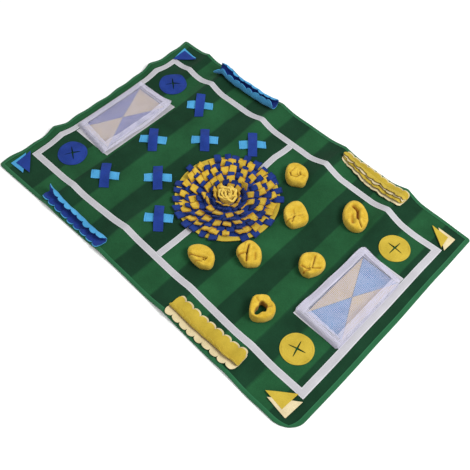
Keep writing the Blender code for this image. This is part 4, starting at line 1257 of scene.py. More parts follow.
def make_backing():
    """The thin blue disc under the tabs."""

    def place(angle, radius):
        wave = 1 + 0.02 * math.sin(9 * angle)
        return around_rosette(angle, wave * radius, ROSETTE_TOP - BACKING / 2)

    grid = disc_grid(BACKING_RADIUS, 12, place)
    made = slab("rosette_backing", grid, BACKING, BLUE_FLEECE, around=True)
    diameter = 2.04 * BACKING_RADIUS
    area = cut_size(grid, around=True)[2]
    declare(made, "rosette_tabs", "blue_felt", (diameter, diameter, area))


make_backing()


def tab_painted_shade(rows, columns):
    """How much painted shade each point of a tab gets: most at its root, and some at its cut edge."""
    painted_shade = []
    for i in range(rows):
        for j in range(columns):
            rim = RIM_SHADE if j in (0, columns - 1) or i == rows - 1 else 0.0
            painted_shade.append(max(ROOT_SHADE * (1 - smooth(i / 4)), rim))
    return painted_shade


def make_tab_variants():
    """Tabs rooted at the origin: Z is up the tab, Y is across it, and X is outwards."""
    chance = random.Random(VARIANT_SEED)
    group = bpy.data.collections.new("tab_variants")
    for number in range(TAB_VARIANTS):
        cup, curl, twist, skew, flare = (chance.uniform(*span) for span in TAB_RANGES)
        bite = [chance.uniform(-0.03, 0.03) for _ in range(4)]
        grid = []
        for t in steps(0.0, 1.0, TAB_CELLS[0]):
            row = []
            for s in steps(-1.0, 1.0, TAB_CELLS[1]):
                corner = max(0.0, abs(s) - 0.86) / 0.14
                height = t * (1 + skew * s * 0.6 + bite[0] * math.cos(3 * s + 2 * number))
                height *= 1 - 0.04 * corner**2
                across = s * (1 + flare * t + bite[1] * math.sin(5 * t))
                x = cup * (1 - s * s) * t + curl * t * t + 0.0004 * math.sin(4 * t + 5 * s + number)
                y, z = across * TAB_UNIT / 2, height * TAB_UNIT
                cos, sin = math.cos(twist * t), math.sin(twist * t)
                row.append(Vector((x * cos - y * sin, x * sin + y * cos, z)))
            grid.append(row)
        tab = slab("tab_variant_{}".format(number), grid, TAB_THICK, BLUE_FLEECE)
        store_painted_shade(tab, tab_painted_shade(len(grid), len(grid[0])))
        bpy.context.scene.collection.objects.unlink(tab)
        group.objects.link(tab)
    return group


def make_tab_tree():
    """Points of a mesh carry lean, turn and size as attributes; a picked variant goes on each."""
    inputs = [("Variants", "Collection"), ("Material", "Material"), ("Seed", "Int"), ("Sway", "Float")]
    tree, start, end = new_tree("tab_ring", inputs)

    def carried(label, kind):
        node = add_node(tree, "GeometryNodeInputNamedAttribute", [("Name", label)], data_type=kind)
        return node.outputs["Attribute"]

    def number_node(operation, first, second):
        return add_node(tree, "ShaderNodeMath", [(0, first), (1, second)], operation=operation).outputs[0]

    source = add_node(tree, "GeometryNodeCollectionInfo", [("Collection", start.outputs["Variants"])])
    source.inputs["Separate Children"].default_value = True
    source.inputs["Reset Children"].default_value = True
    low = number_node("MULTIPLY", start.outputs["Sway"], -1.0)
    sways = []
    for k in range(3):
        sway = add_node(tree, "FunctionNodeRandomValue", data_type="FLOAT")
        floats = [s for s in sway.inputs if s.type == "VALUE" and s.enabled]
        tree.links.new(low, floats[0])
        tree.links.new(start.outputs["Sway"], floats[1])
        tree.links.new(number_node("ADD", start.outputs["Seed"], 17.0 * k), sway.inputs["Seed"])
        sways.append([s for s in sway.outputs if s.type == "VALUE" and s.enabled][0])
    tilt = number_node("ADD", carried("lean", "FLOAT"), sways[0])
    spin = number_node("ADD", carried("way", "FLOAT"), sways[1])
    turn = add_node(tree, "ShaderNodeCombineXYZ", [("X", sways[2]), ("Y", tilt), ("Z", spin)])
    rotation = add_node(tree, "FunctionNodeEulerToRotation", [("Euler", turn.outputs["Vector"])])
    placed = add_node(
        tree,
        "GeometryNodeInstanceOnPoints",
        [
            ("Points", start.outputs["Geometry"]),
            ("Instance", source.outputs["Instances"]),
            ("Rotation", rotation.outputs["Rotation"]),
            ("Scale", carried("size", "FLOAT_VECTOR")),
        ],
    )
    placed.inputs["Pick Instance"].default_value = True
    dress(tree, placed, start, end)
    return tree


def make_tab_ring(number, tree, variants):
    radius, count, lean, length, width, colour = TAB_RINGS[number]
    chance = random.Random(RING_SEED + number)
    outermost = number == len(TAB_RINGS) - 1
    points, ways, leans, sizes = [], [], [], []
    for k in range(count):
        stray = chance.uniform(-WAY_SPREAD, WAY_SPREAD)
        way = 2 * math.pi * (k + 0.5 + stray) / count + RING_TURN * number
        place = math.degrees(way) % 360
        if outermost and any(low <= place <= high for low, high in BARE_RIM):
            continue
        reach = radius * (1 + chance.uniform(-REACH_SPREAD, REACH_SPREAD))
        points.append(around_rosette(way, reach, ROSETTE_TOP + (OUTER_LIFT if outermost else 0.0)))
        ways.append(way)
        tip = chance.uniform(-LEAN_SPREAD, LEAN_SPREAD) * (OUTER_STEADY if outermost else 1.0)
        leans.append(math.radians(lean + tip))
        wide = width / TAB_UNIT * chance.uniform(0.84, 1.08)
        sizes += (1.0, wide, length / TAB_UNIT * chance.uniform(0.88, 1.10))
    mesh = bpy.data.meshes.new("tab_roots")
    mesh.from_pydata([tuple(point) for point in points], [], [])
    for label, kind, field, values in (
        ("way", "FLOAT", "value", ways),
        ("lean", "FLOAT", "value", leans),
        ("size", "FLOAT_VECTOR", "vector", sizes),
    ):
        mesh.attributes.new(label, kind, "POINT").data.foreach_set(field, values)
    fleece, slot = (BLUE_FLEECE, "blue_felt") if colour == "blue" else (YELLOW_FLEECE, "yellow_fleece")
    sway = OUTER_SWAY if outermost else SWAY
    inputs = {"Variants": variants, "Material": fleece, "Seed": SWAY_SEED + number, "Sway": sway}
    made = grow(tree, "rosette_tabs_{}".format(number + 1), mesh, inputs)
    made.data.shade_smooth()
    made.data.set_sharp_from_angle(angle=SHARP_EDGE)
    row_length = len(points) * width * TAB_ROW_SLACK
    area = sum(face.area for face in made.data.polygons) / 2 * TAB_FLAT_SHARE
    declare(made, "rosette_tabs", slot, (length, row_length, area))
    return made


tab_variants = make_tab_variants()
tab_tree = make_tab_tree()
tab_rings = [make_tab_ring(number, tab_tree, tab_variants) for number in range(len(TAB_RINGS))]
print("tab faces:", sum(len(ring.data.polygons) for ring in tab_rings))
for tab in list(tab_variants.objects):
    bpy.data.objects.remove(tab, do_unlink=True)
bpy.data.collections.remove(tab_variants)

# %% [markdown]
# ### The ruffled middle
# One strip of yellow fleece is rolled up in a spiral of about three turns and sewn down in the middle. Its
# free edge flares and ruffles, and the turns press on each other. The strip is a grid along a spiral, whose
# outer turns are lower, and waves that don't repeat together give it an irregular lip.

# %% Rosette heart
HEART_TURNS, HEART_HEIGHT, HEART_SHEET = 3.4, 0.0235, 0.0050
HEART_CELLS, HEART_START = (220, 10), 0.6
HEART_CORE, HEART_SPREAD = 0.0028, 0.0195  # radius where the roll starts, and what it gains
HEART_FLARE, HEART_DROP = 0.0035, 0.0085  # how far its lip leans out and how much lower it is at the last turn
HEART_FLEECE = fibre_finish(
    "heart_fleece", (0.640, 0.430, 0.060), (0.760, 0.560, 0.130), sheen=0.08, contrast=1.3, **FLEECE_PILE
)


def make_heart():
    grid = []
    for share in steps(0.0, 1.0, HEART_CELLS[0]):
        angle = 2 * math.pi * HEART_TURNS * share + HEART_START
        radius = HEART_CORE + HEART_SPREAD * share**0.9
        tall = HEART_HEIGHT - HEART_DROP * share**2.2
        ruffle = math.sin(angle * 2.37 + 1.0) + 0.8 * math.sin(angle * 3.71 + 2.0)
        ruffle += 0.5 * math.sin(angle * 7.9)
        lip = 0.0024 * math.sin(angle * 3.13 + 1.0) + 0.0016 * math.sin(angle * 6.7)
        row = []
        for t in steps(0.0, 1.0, HEART_CELLS[1]):
            out = radius + HEART_FLARE * share**1.5 * t**1.7 + (0.0009 + 0.0016 * share) * ruffle * t * t
            row.append(around_rosette(angle, out, ROSETTE_TOP + tall * t + lip * t))
        grid.append(row)
    made = slab("rosette_roll", grid, HEART_SHEET, HEART_FLEECE)
    declare(made, "rosette_heart", "yellow_fleece", cut_size(grid))


make_heart()

# %% [markdown]
# ## Crossed strips
# Seven pairs of felt strips lie over each other in an X, sewn at their ends, so that food can be pushed under
# the arch in the middle. Each strip is a grid that rises to its arch and wavers a little, in its own way.

# %% Crossed strips
CROSSES = (  # place, and the turns of the upper and the lower strip in degrees
    (-0.282, 0.175, -50, 41),
    (-0.082, 0.173, -47, 43),
    (-0.185, 0.097, -46, 42),
    (-0.282, 0.000, -47, 40),
    (-0.179, -0.079, -44, 44),
    (-0.279, -0.169, -47, 41),
    (-0.083, -0.165, -46, 42),
)
UNDER_STRIP, OVER_STRIP = (0.071, 0.025), (0.077, 0.024)
UNDER_ARCH, OVER_ARCH = 0.0020, 0.0062
STRIP_CELLS = (26, 8)
EDGE_WAVE, STRIP_SWAY, STRIP_RIPPLE = 0.025, 0.0006, 0.0005
STRIP_SEAM = 0.87  # where a strip is sewn down, as a share of its half length


def strip_point(strip, share, side):
    """A point of a strip: share runs from -1 to 1 along it, and side across it."""
    (x, y), turn, (length, breadth), arch, wobble = strip
    width = breadth * (1 + EDGE_WAVE * math.sin(3.1 * share + wobble))
    along = share * length / 2 + STRIP_SWAY * math.sin(2 * side + wobble)
    dx, dy = turned(along, side * width / 2, turn)
    rise = arch * smooth((1 - abs(share)) / 0.8)
    rise += STRIP_RIPPLE * (1 + math.sin(5 * share + 2 * side + wobble))
    return on_ground(x + dx, y + dy, GAP + FELT / 2 + rise)


def make_cross(number, row):
    *middle, over_turn, under_turn = row
    layers = (
        ("under", under_turn, UNDER_STRIP, UNDER_ARCH, "light_blue"),
        ("over", over_turn, OVER_STRIP, OVER_ARCH, "blue"),
    )
    lines = []
    for layer, turn, size, arch, colour in layers:
        strip = (middle, turn, size, arch, 1.7 * number + (layer == "over") * 0.9)
        along, across = steps(-1, 1, STRIP_CELLS[0]), steps(-1, 1, STRIP_CELLS[1])
        grid = [[strip_point(strip, share, side) for side in across] for share in along]
        made = slab("strip_{}_{}".format(number, layer), grid, FELT, FELTS[colour])
        node = "cross_{}_{}".format(number, layer)
        declare(made, node, SLOTS[colour], cut_size(grid))
        on_top = Vector((0, 0, FELT / 2))
        for end in (-STRIP_SEAM, STRIP_SEAM):
            lines.append([strip_point(strip, end, side) + on_top for side in steps(-0.9, 0.9, 8)])
    return lines


cross_lines = [line for number, row in enumerate(CROSSES, 1) for line in make_cross(number, row)]
sew("strip_stitches", cross_lines, "blue", FELT_PITCH)

# %% [markdown]
# ## Puffs
# Each puff is a tube of fleece. Its foot is sewn down in a ring, its belly swells and its mouth is gathered
# or folded shut. No two lie alike, so each has its own outline, mouth and creases, in millimetres from its
# place. The surface runs from the mouth out to the outline by one profile, and creases are pressed into it.
# Painted shade darkens the deep creases and the inside of the mouth.

# %% Puffs
MM = 0.001
PUFFS = (  # place and height; outline; mouth (x, y, half long, half short, turn, depth share)
    ((0.077, 0.171, 0.0245),
     ((-31.4, 18.3), (-37.3, 3.4), (-25.3, -17.5), (-9.7, -30.6), (4.6, -30.2), (21.1, -20.5), (33.6, -13.5),
      (29.0, -3.0), (21.6, 15.1), (8.9, 25.2), (-8.3, 28.2), (-21.9, 24.5)),
     (2, -5, 3.0, 1.4, 0, 0.5)),
    ((0.265, 0.175, 0.0245),
     ((-34.3, 30.6), (-38.4, 8.8), (-30.3, -12.7), (-15.6, -29.4), (1.4, -35.9), (19.0, -36.5), (34.3, -26.7),
      (36.5, -11.5), (29.5, 7.4), (15.1, 22.2), (-5.6, 33.7), (-23.2, 36.4)),
     (9, -8, 5.0, 3.2, -50, 0.2)),
    ((0.157, 0.073, 0.0245),
     ((-27.6, 33.8), (-33.2, 13.6), (-32.3, -7.0), (-17.0, -23.2), (-2.5, -32.5), (16.7, -31.7), (26.9, -13.5),
      (32.7, 5.0), (23.5, 17.2), (4.0, 29.3), (-11.4, 35.4)),
     (2.5, -10.3, 2.6, 1.6, 60, 0.4)),
    ((0.280, -0.008, 0.0240),
     ((-36.1, 4.5), (-24.9, 20.4), (-11.7, 32.2), (-0.3, 32.4), (17.0, 25.4), (25.7, 10.1), (23.1, -9.1),
      (13.1, -28.6), (-1.5, -33.4), (-18.7, -26.8), (-30.6, -12.4)),
     (2.5, -18.4, 7.0, 1.6, 47, 0.4)),
    ((0.155, -0.090, 0.0255),
     ((-27.4, 23.4), (-16.7, 29.2), (9.2, 24.9), (23.5, 12.5), (35.1, -7.5), (12.9, -30.3), (-6.2, -26.9),
      (-29.0, -17.8), (-33.4, -4.8), (-31.0, 10.1)),
     (-8, -3, 12.0, 2.2, -58, 0.3)),
    ((0.077, -0.175, 0.0235),
     ((-37.4, -8.5), (-38.3, 0.3), (-28.4, 15.3), (-10.0, 26.0), (9.1, 25.3), (24.1, 18.3), (35.5, 0.6),
      (35.6, -9.8), (17.4, -22.0), (1.9, -22.9), (-13.8, -21.7), (-29.9, -15.9)),
     (12, -6, 2.5, 1.4, 0, 0.5)),
    ((0.274, -0.178, 0.0270),
     ((-33.8, 7.6), (-21.8, 21.6), (-10.4, 31.8), (1.9, 24.5), (15.1, 24.4), (25.8, 14.9), (30.2, -0.5),
      (22.5, -18.7), (9.8, -29.1), (-5.3, -33.4), (-17.7, -23.4), (-27.9, -7.1)),
     (0, -4, 20.0, 12.0, 95, 0.08)),
)  # fmt: skip
PUFF_CREASES = (  # for each puff: points of a crease, its depth and its half width
    ((((-14.8, -14.7), (-5.9, -20.2), (5.7, -14.1), (7.9, -0.3), (1.7, 4.6)), 3.4, 2.0),
     (((-14.8, -14.7), (-16, 5)), 1.8, 2.0), (((7.9, -0.3), (20, 4)), 1.6, 2.2)),
    ((((-20.5, 12), (-4.7, 9.2), (9.3, -8.6)), 7.0, 4.0), (((13.7, -11.8), (31.6, -22.2)), 3.5, 2.2),
     (((-4.8, -10.2), (8.4, -26.8)), 3.0, 4.5)),
    ((((2.5, -10.3), (1, -22.4), (-1.8, -32.9)), 2.8, 2.0), (((2.5, -10.3), (9, -27.1)), 2.8, 2.0),
     (((2.5, -10.3), (-12, 2)), 1.4, 2.4), (((2.5, -10.3), (12, 6)), 1.2, 2.4)),
    ((((-8.6, 16.7), (0.7, -0.8), (6.4, -11.9)), 3.2, 2.0), (((7.4, -13.1), (20.6, -0.1)), 3.2, 2.2),
     (((-1.3, -33.8), (5.5, -22)), 4.0, 2.6), (((-2.4, -23.6), (-15, -24)), 3.0, 3.0)),
    ((((-17.6, 12.7), (-8.2, -2.4), (8.7, -24.6)), 4.4, 2.4), (((-17.5, -26.3), (-6.7, -6.1)), 3.2, 3.0),
     (((10, 5.7), (21.1, -7.3)), 1.8, 3.0)),
    ((((-23.4, -19.8), (-7.2, -13.6), (7.5, -3.7), (16, 0)), 3.8, 2.0),
     (((16, 0), (16.3, -6.7), (10.5, -9.4)), 3.2, 1.8), (((1.1, -21.8), (12.8, -15.3)), 2.8, 1.8)),
    ((((-24, 6), (-16, 4)), 1.6, 2.4), (((14, 14), (9, 8)), 1.6, 2.4)),
)  # fmt: skip
PUFF_PROFILE = (  # share of the way from the mouth to the outline, and share of the height
    (0.86, 0.00), (0.94, 0.10), (1.00, 0.30), (1.02, 0.50), (1.01, 0.68), (0.98, 0.84), (0.92, 0.95),
    (0.83, 1.01), (0.64, 1.02), (0.40, 0.99), (0.18, 0.95), (0.05, 0.91), (0.00, 0.84), (0.00, 0.66),
    (0.04, 0.50),
)  # fmt: skip
PUFF_AROUND, PUFF_UP, PUFF_BLUR = 96, 56, 3
FLEECE = 0.0022
LIP_LEVEL, LIP_SPAN, LIP_RISE = 0.84, 0.16, 0.84  # where the cloth turns down into the mouth
PRESS, FULL_CREASE = 1.5, 4.5  # how much a crease is deepened, and its depth for full painted shade, in mm
# how dark the inside of a puff's mouth is painted: painted shade
MOUTH_SHADE = 0.75
RUMPLES = ((1.6, 45, 1), (0.9, 120, 2))  # height in mm, fineness, change up the side


def profile_at(level):
    """Share of the radius and of the height at a level from 0 at the foot to 1 inside the mouth."""
    place = level * (len(PUFF_PROFILE) - 1)
    k = min(int(place), len(PUFF_PROFILE) - 2)
    return between(PUFF_PROFILE[k], PUFF_PROFILE[k + 1], place - k)


def outline_reach(outline, middle):
    """How far the outline lies from the mouth's middle in each direction, with its corners rounded off."""
    reach = []
    for k in range(PUFF_AROUND):
        angle = 2 * math.pi * k / PUFF_AROUND
        ray = Vector((math.cos(angle), math.sin(angle)))
        farthest = 0.0
        for first, second in zip(outline, outline[1:] + outline[:1]):
            a, b = Vector(first) - middle, Vector(second) - middle
            side = b - a
            turn = ray.x * side.y - ray.y * side.x
            if abs(turn) < 1e-9:
                continue
            along = (a.x * side.y - a.y * side.x) / turn
            share = (a.x * ray.y - a.y * ray.x) / turn
            if along > 0 and -1e-6 <= share <= 1 + 1e-6:
                farthest = max(farthest, along)
        reach.append(farthest)
    blur = range(-PUFF_BLUR, PUFF_BLUR + 1)
    return [sum(reach[(k + step) % PUFF_AROUND] for step in blur) / len(blur) for k in range(PUFF_AROUND)]


def crease_dip(place, creases):
    """How far the cloth is pressed in at a place, with a low ridge along both sides of a crease."""
    dip = 0.0
    for points, depth, half in creases:
        near = 1e9
        for first, second in zip(points, points[1:]):
            a, side = Vector(first), Vector(second) - Vector(first)
            share = min(max((place - a).dot(side) / side.length_squared, 0.0), 1.0)
            near = min(near, (place - a - side * share).length)
        trough = math.exp(-((near / (1.2 * half)) ** 2))
        ridge = math.exp(-(((near - 2 * half) / (1.3 * half)) ** 2))
        dip += depth * trough - 0.35 * depth * ridge
    return dip


def mouth_edge(ray, angle, long, short, turn):
    """How far the edge of a mouth lies from its middle: an ellipse that is not quite regular."""
    x, y = turned(*ray, -turn)
    hole = 1 / math.hypot(x / long, y / short)
    return hole * (1 + 0.16 * math.sin(3 * angle + 0.6) + 0.09 * math.sin(5 * angle + 2.0))


def make_puff(number):
    (x, y, height), outline, (mouth_x, mouth_y, long, short, turn, mouth_depth) = PUFFS[number - 1]
    middle = Vector((mouth_x, mouth_y))
    reaches = outline_reach(outline, middle)
    under = on_ground(x, y, 0.0).z
    grid, painted_shade = [], []
    for k in range(PUFF_AROUND):
        angle = 2 * math.pi * k / PUFF_AROUND
        ray = Vector((math.cos(angle), math.sin(angle)))
        hole = mouth_edge(ray, angle, long, short, turn)
        row = []
        foot = None
        for level in steps(0.0, 1.0, PUFF_UP):
            share, rise = profile_at(level)
            if level > LIP_LEVEL:
                rise = LIP_RISE + (mouth_depth - LIP_RISE) * smooth((level - LIP_LEVEL) / LIP_SPAN)
            place = middle + ray * (hole + (reaches[k] - hole) * share)
            spot = Vector((x + place.x * MM, y + place.y * MM))
            if foot is None:
                foot = on_ground(spot.x, spot.y, 0.0).z
            pressed = PRESS * crease_dip(place, PUFF_CREASES[number - 1]) * smooth((rise - 0.4) / 0.4)
            pressed *= 1 - smooth((level - LIP_LEVEL) / 0.08)
            # Painted shade: the inside of the mouth and the deep creases are darkened through the crease
            # attribute.
            mouth = MOUTH_SHADE * smooth((level - 0.80) / 0.12)
            painted_shade.append(min(max(pressed / FULL_CREASE, mouth, 0.0), 1.0))
            rumple = 0.0
            for amount, fine, change in RUMPLES:
                at = Vector((spot.x * fine, spot.y * fine, change * level + number))
                rumple += amount * noise.noise(at)
            up = foot + (under - foot + height) * rise + (rumple * smooth(rise / 0.3) - pressed) * MM
            row.append(Vector((spot.x + SHIFT.x, spot.y + SHIFT.y, max(up, foot + GAP) + FLEECE / 2)))
        grid.append(row)
    made = slab("puff_cloth_{}".format(number), grid, FLEECE, YELLOW_FLEECE, around=True)
    store_painted_shade(made, painted_shade)
    node = "puff_{}".format(number)
    declare(made, node, "yellow_fleece", cut_size(grid, around=True))
    return made


puffs = [make_puff(number) for number in range(1, len(PUFFS) + 1)]
print("puff faces:", sum(len(puff.data.polygons) for puff in puffs))


# %% [markdown]
# ## Slit discs
# Four felt discs are sewn round their rim. Two crossed slits leave four pointed flaps, two of which curl up
# slightly, and between them the slits stand open. The disc is built in four quarters that share their points
# from the ends of the slits outwards.

# %% Slit discs
SLIT_DISCS = (
    ("slit_disc_blue_1", -0.395, 0.180, 0.0385, 52, "blue"),
    ("slit_disc_blue_2", -0.395, -0.181, 0.0385, 57, "blue"),
    ("slit_disc_yellow_1", 0.386, 0.176, 0.0385, 88, "yellow"),
    ("slit_disc_yellow_2", 0.392, -0.192, 0.0390, 15, "yellow"),
)
SLIT_LENGTH, SLIT_WIDTH, SLIT_SPREAD, SLIT_MOST = 0.0220, 0.0023, 0.45, 0.65
POINT_START, POINT_CURL = 0.0036, 0.0016
DISC_DOME, RIM_WAVE, DISC_SEAM = 0.0014, 0.0004, 0.0040
QUARTER_CELLS, RING_CELLS = 14, 9


def closed_shell(name, points, flat, cells, thickness, material):
    """A closed sheet about a set of cells that share points."""
    around_point = {}
    for cell in cells:
        corners = [points[index] for index in cell]
        normal = (corners[2] - corners[0]).cross(corners[-1] - corners[1])
        for index in cell:
            around_point[index] = around_point.get(index, Vector()) + normal
    normals = [around_point[k].normalized() for k in range(len(points))]
    both = [p + n * side * thickness / 2 for side in (-1, 1) for p, n in zip(points, normals)]
    return finish_mesh(name, both, two_sided(cells, len(points)), flat + flat, material)


def slit_turn(radius):
    """By how many degrees the edge of a flap is turned back from the line of its slit."""
    if radius >= SLIT_LENGTH:
        return 0.0
    open_by = SLIT_WIDTH * (1 - radius / SLIT_LENGTH) ** SLIT_SPREAD
    return math.degrees(math.asin(min(open_by / radius, SLIT_MOST)))


def make_slit_disc(name, x, y, radius, turn, colour):
    radii = steps(POINT_START, SLIT_LENGTH, RING_CELLS) + steps(SLIT_LENGTH, radius, RING_CELLS)[1:]
    index_of, points, flat, cells = {}, [], [], []
    for quarter in range(4):
        for a in range(QUARTER_CELLS + 1):
            for k, r in enumerate(radii):
                shared = a == QUARTER_CELLS and r >= SLIT_LENGTH - 1e-9
                key = ((quarter + 1) % 4, 0, k) if shared else (quarter, a, k)
                if key in index_of:
                    index_of[(quarter, a, k)] = index_of[key]
                    continue
                edge_turn = slit_turn(r)
                angle = 90 * quarter + edge_turn + (90 - 2 * edge_turn) * a / QUARTER_CELLS + turn
                dx, dy = turned(r, 0, angle)
                lift = DISC_DOME * smooth(1 - r / radius)
                lift += POINT_CURL * max(0.0, 1 - r / SLIT_LENGTH) * (quarter % 2 == 0)
                lift += RIM_WAVE * (1 + math.sin(6 * math.radians(angle))) * r / radius
                index_of[(quarter, a, k)] = index_of[key] = len(points)
                points.append(on_ground(x + dx, y + dy, GAP + FELT / 2 + lift))
                flat.append((dx + radius, dy + radius))
        for a in range(QUARTER_CELLS):
            for k in range(len(radii) - 1):
                cell = ((a, k), (a, k + 1), (a + 1, k + 1), (a + 1, k))
                cells.append([(quarter, *corner) for corner in cell])
    cells = [[index_of[key] for key in cell] for cell in cells]
    made = closed_shell(name + "_felt", points, flat, cells, FELT, FELTS[colour])
    area = sum(face.area for face in made.data.polygons) / 2
    declare(made, name, SLOTS[colour], (2 * radius, 2 * radius, area))
    ring = []
    for degrees in range(0, 365, 5):
        dx, dy = turned(radius - DISC_SEAM, 0, degrees)
        ring.append(on_ground(x + dx, y + dy, GAP + FELT + 0.0005))
    sew(name + "_stitches", [ring], colour, FELT_PITCH)


for row in SLIT_DISCS:
    make_slit_disc(*row)

# %% [markdown]
# ## Frills
# Two scalloped felt strips lie one in the other and are sewn down along one seam, so that their edges stand up
# as pages. A table of leans, which changes along the seam, gives the section; the blue rows roll over at their
# tips, and the upper strip there simply lines the lower one. The far yellow row has two more, shorter leaves
# between its pages.

# %% Frills
SCALLOPS, SCALLOP_DEPTH, WAVES = 9, 0.0092, 2.5
ROUND_END = 0.035  # share of a page's length over which its ends are rounded
ROUND_OFF, MOST_CUT = 0.3, 0.5  # what the rounding takes off a page, and the most that is ever cut off it
SECOND_SHIFT, LEAF_SHIFT = 0.12, 0.4  # how far the scallops of a pitch page and of a leaf are moved along
RUFFLES, RUFFLE_LEAN, LEAF_RUFFLE = 6.3, 2.0, 1.6
LEAF_WANDERS, LEAF_WANDER, LEAF_SCALLOP = 4.3, 0.0022, 0.8
LINING_SLACK = 0.0004
PAGE_COLOURS = {
    "blue": {"under": "light_blue", "over": "blue"},
    "yellow": {"under": "cream", "over": "yellow"},
}
# A row has the two ends of its seam, how far the seam is sewn off that line at even stations ("off"), the
# width of its edge page and of its pitch page ("halves"), and by how many degrees it waves. "under" and
# "over" hold stations: a share of the length, the leans of the edge page and those of the pitch page. Where
# "over" is a pair of distances, that strip lines the lower one and stops short of its tips by them. Elsewhere
# its pages are narrower than the lower ones by "inset". "narrow" is the share of its full width that a row
# has at even stations, "lobes" is how deep its scallops are, and a leaf has its colour, its width, its place
# above the seam and its leans.
PLAIN_ROW = {"off": (0.0,), "narrow": (1.0,), "lobes": 1.0, "leaves": ()}
FRILLS = (
    {"name": "far_blue", "from": (-0.336, 0.308), "to": (-0.126, 0.313), "wave": 2,
     "halves": (0.040, 0.041),
     "under": ((0.00, (42, 80, 132), (14, 38, 52)), (0.16, (46, 80, 156), (20, 78, 96)),
               (1.00, (44, 80, 168), (18, 84, 104))),
     "over": (0.0024, 0.0024)},
    {"name": "near_blue", "from": (-0.336, -0.300), "to": (-0.118, -0.304), "wave": 3,
     "halves": (0.030, 0.034),
     "under": ((0.00, (14, 24, 34), (70, 84, 94)), (0.18, (12, 14, 18), (62, 118, 158)),
               (1.00, (12, 13, 15), (62, 124, 172))),
     "over": (0.0020, 0.0024)},
    {"name": "far_yellow", "from": (0.116, 0.321), "to": (0.322, 0.306), "wave": 4,
     "halves": (0.021, 0.034), "inset": 0.0048,
     "narrow": (0.62, 0.74, 0.90, 1.0, 1.0, 1.0, 1.0), "lobes": 0.4,
     "under": ((0.0, (20, 26, 30), (10, 7, 6)), (1.0, (12, 8, 8), (9, 7, 6))),
     "over": ((0.0, (28, 34, 36), (26, 16, 12)), (1.0, (18, 14, 12), (24, 16, 12))),
     "leaves": (("cream", 0.0225, 2.4, (28, 30, 22)), ("yellow", 0.0180, 4.6, (31, 34, 24)))},
    {"name": "near_yellow", "from": (0.116, -0.301), "to": (0.328, -0.308), "wave": 3,
     "halves": (0.024, 0.039), "inset": 0.0052, "off": (0.014, 0.013, 0.011, 0.008, 0.004),
     "under": ((0.0, (34, 26, 10), (9, 7, 6)), (0.45, (30, 22, 4), (9, 7, 6)),
               (1.0, (28, 20, 6), (12, 8, 8))),
     "over": ((0.0, (66, 104, 138), (16, 10, 7)), (0.5, (58, 92, 124), (16, 10, 7)),
              (1.0, (48, 70, 96), (20, 14, 10)))},
)  # fmt: skip
FRILL_STATIONS, PAGE_STEPS = 162, 12


def even_table(values, share):
    """The value at a share of the way along even stations."""
    return read_table(steps(0.0, 1.0, max(len(values) - 1, 1)), values, share)


def leans_at(stations, share, wave):
    """The three leans of the edge page and of the pitch page at a share of the strip's length."""
    shares = [station[0] for station in stations]
    pages = []
    for side in (1, 2):
        runs = zip(*(station[side] for station in stations))
        pages.append([read_table(shares, run, share) + wave for run in runs])
    return pages


def page(start, side, leans, half, cut):
    """Points of one page as (sideways, up) from its root; its lean changes smoothly along its full width."""
    points = [start]
    reach = half - cut
    for k in range(PAGE_STEPS):
        share = (k + 0.5) / PAGE_STEPS * reach / half
        place = share * 3 - 0.5
        low = min(max(int(place), 0), 1)
        t = min(max(place - low, 0.0), 1.0)
        angle = math.radians(leans[low] + (leans[low + 1] - leans[low]) * t)
        step = reach / PAGE_STEPS
        points.append(points[-1] + Vector((side * step * math.cos(angle), step * math.sin(angle))))
    return points


def strip_line(seam, leans, halves, cuts):
    edge = page(seam, -1, leans[0], halves[0], cuts[0])
    return edge[:0:-1] + page(seam, 1, leans[1], halves[1], cuts[1])


def lining_line(line, distance, short):
    """The section of a strip that lines another one on its inner side and stops short of both its tips."""
    ways = [(after - before).normalized() for before, after in zip(line, line[1:])]
    inward = [Vector((-way.y, way.x)) for way in ways]
    inner = [line[0] + inward[0] * distance + ways[0] * short[0]]
    for k in range(1, len(line) - 1):
        both = inward[k - 1] + inward[k]
        inner.append(line[k] + both * distance / (1 + inward[k - 1].dot(inward[k])))
    inner.append(line[-1] + inward[-1] * distance - ways[-1] * short[1])
    return inner


def nested_seam(leans, distance):
    """Where a strip's seam lies that keeps this distance to the roots of the strip under it."""
    edge, pitch = math.radians(leans[0][0]), math.radians(leans[1][0])
    across = Vector((math.sin(edge) - math.sin(pitch), math.cos(edge) + math.cos(pitch))).normalized()
    return across * distance / (across.x * math.sin(edge) + across.y * math.cos(edge))


def scallop(share, shift):
    """How much is cut off at this place along a page: rounded lobes with sharp notches."""
    place = (share * SCALLOPS + shift) % 1.0
    return SCALLOP_DEPTH * (1 - math.sqrt(max(0.0, 1 - (2 * place - 1) ** 2)) ** 0.8)


def page_cut(share, shift, half, lobes):
    """What the scallops and the rounded ends take off a page."""
    end = max(0.0, 1 - min(share, 1 - share) / ROUND_END)
    rounded = ROUND_OFF * half * (1 - math.sqrt(1 - end * end))
    return min(lobes * scallop(share, shift) + rounded, MOST_CUT * half)


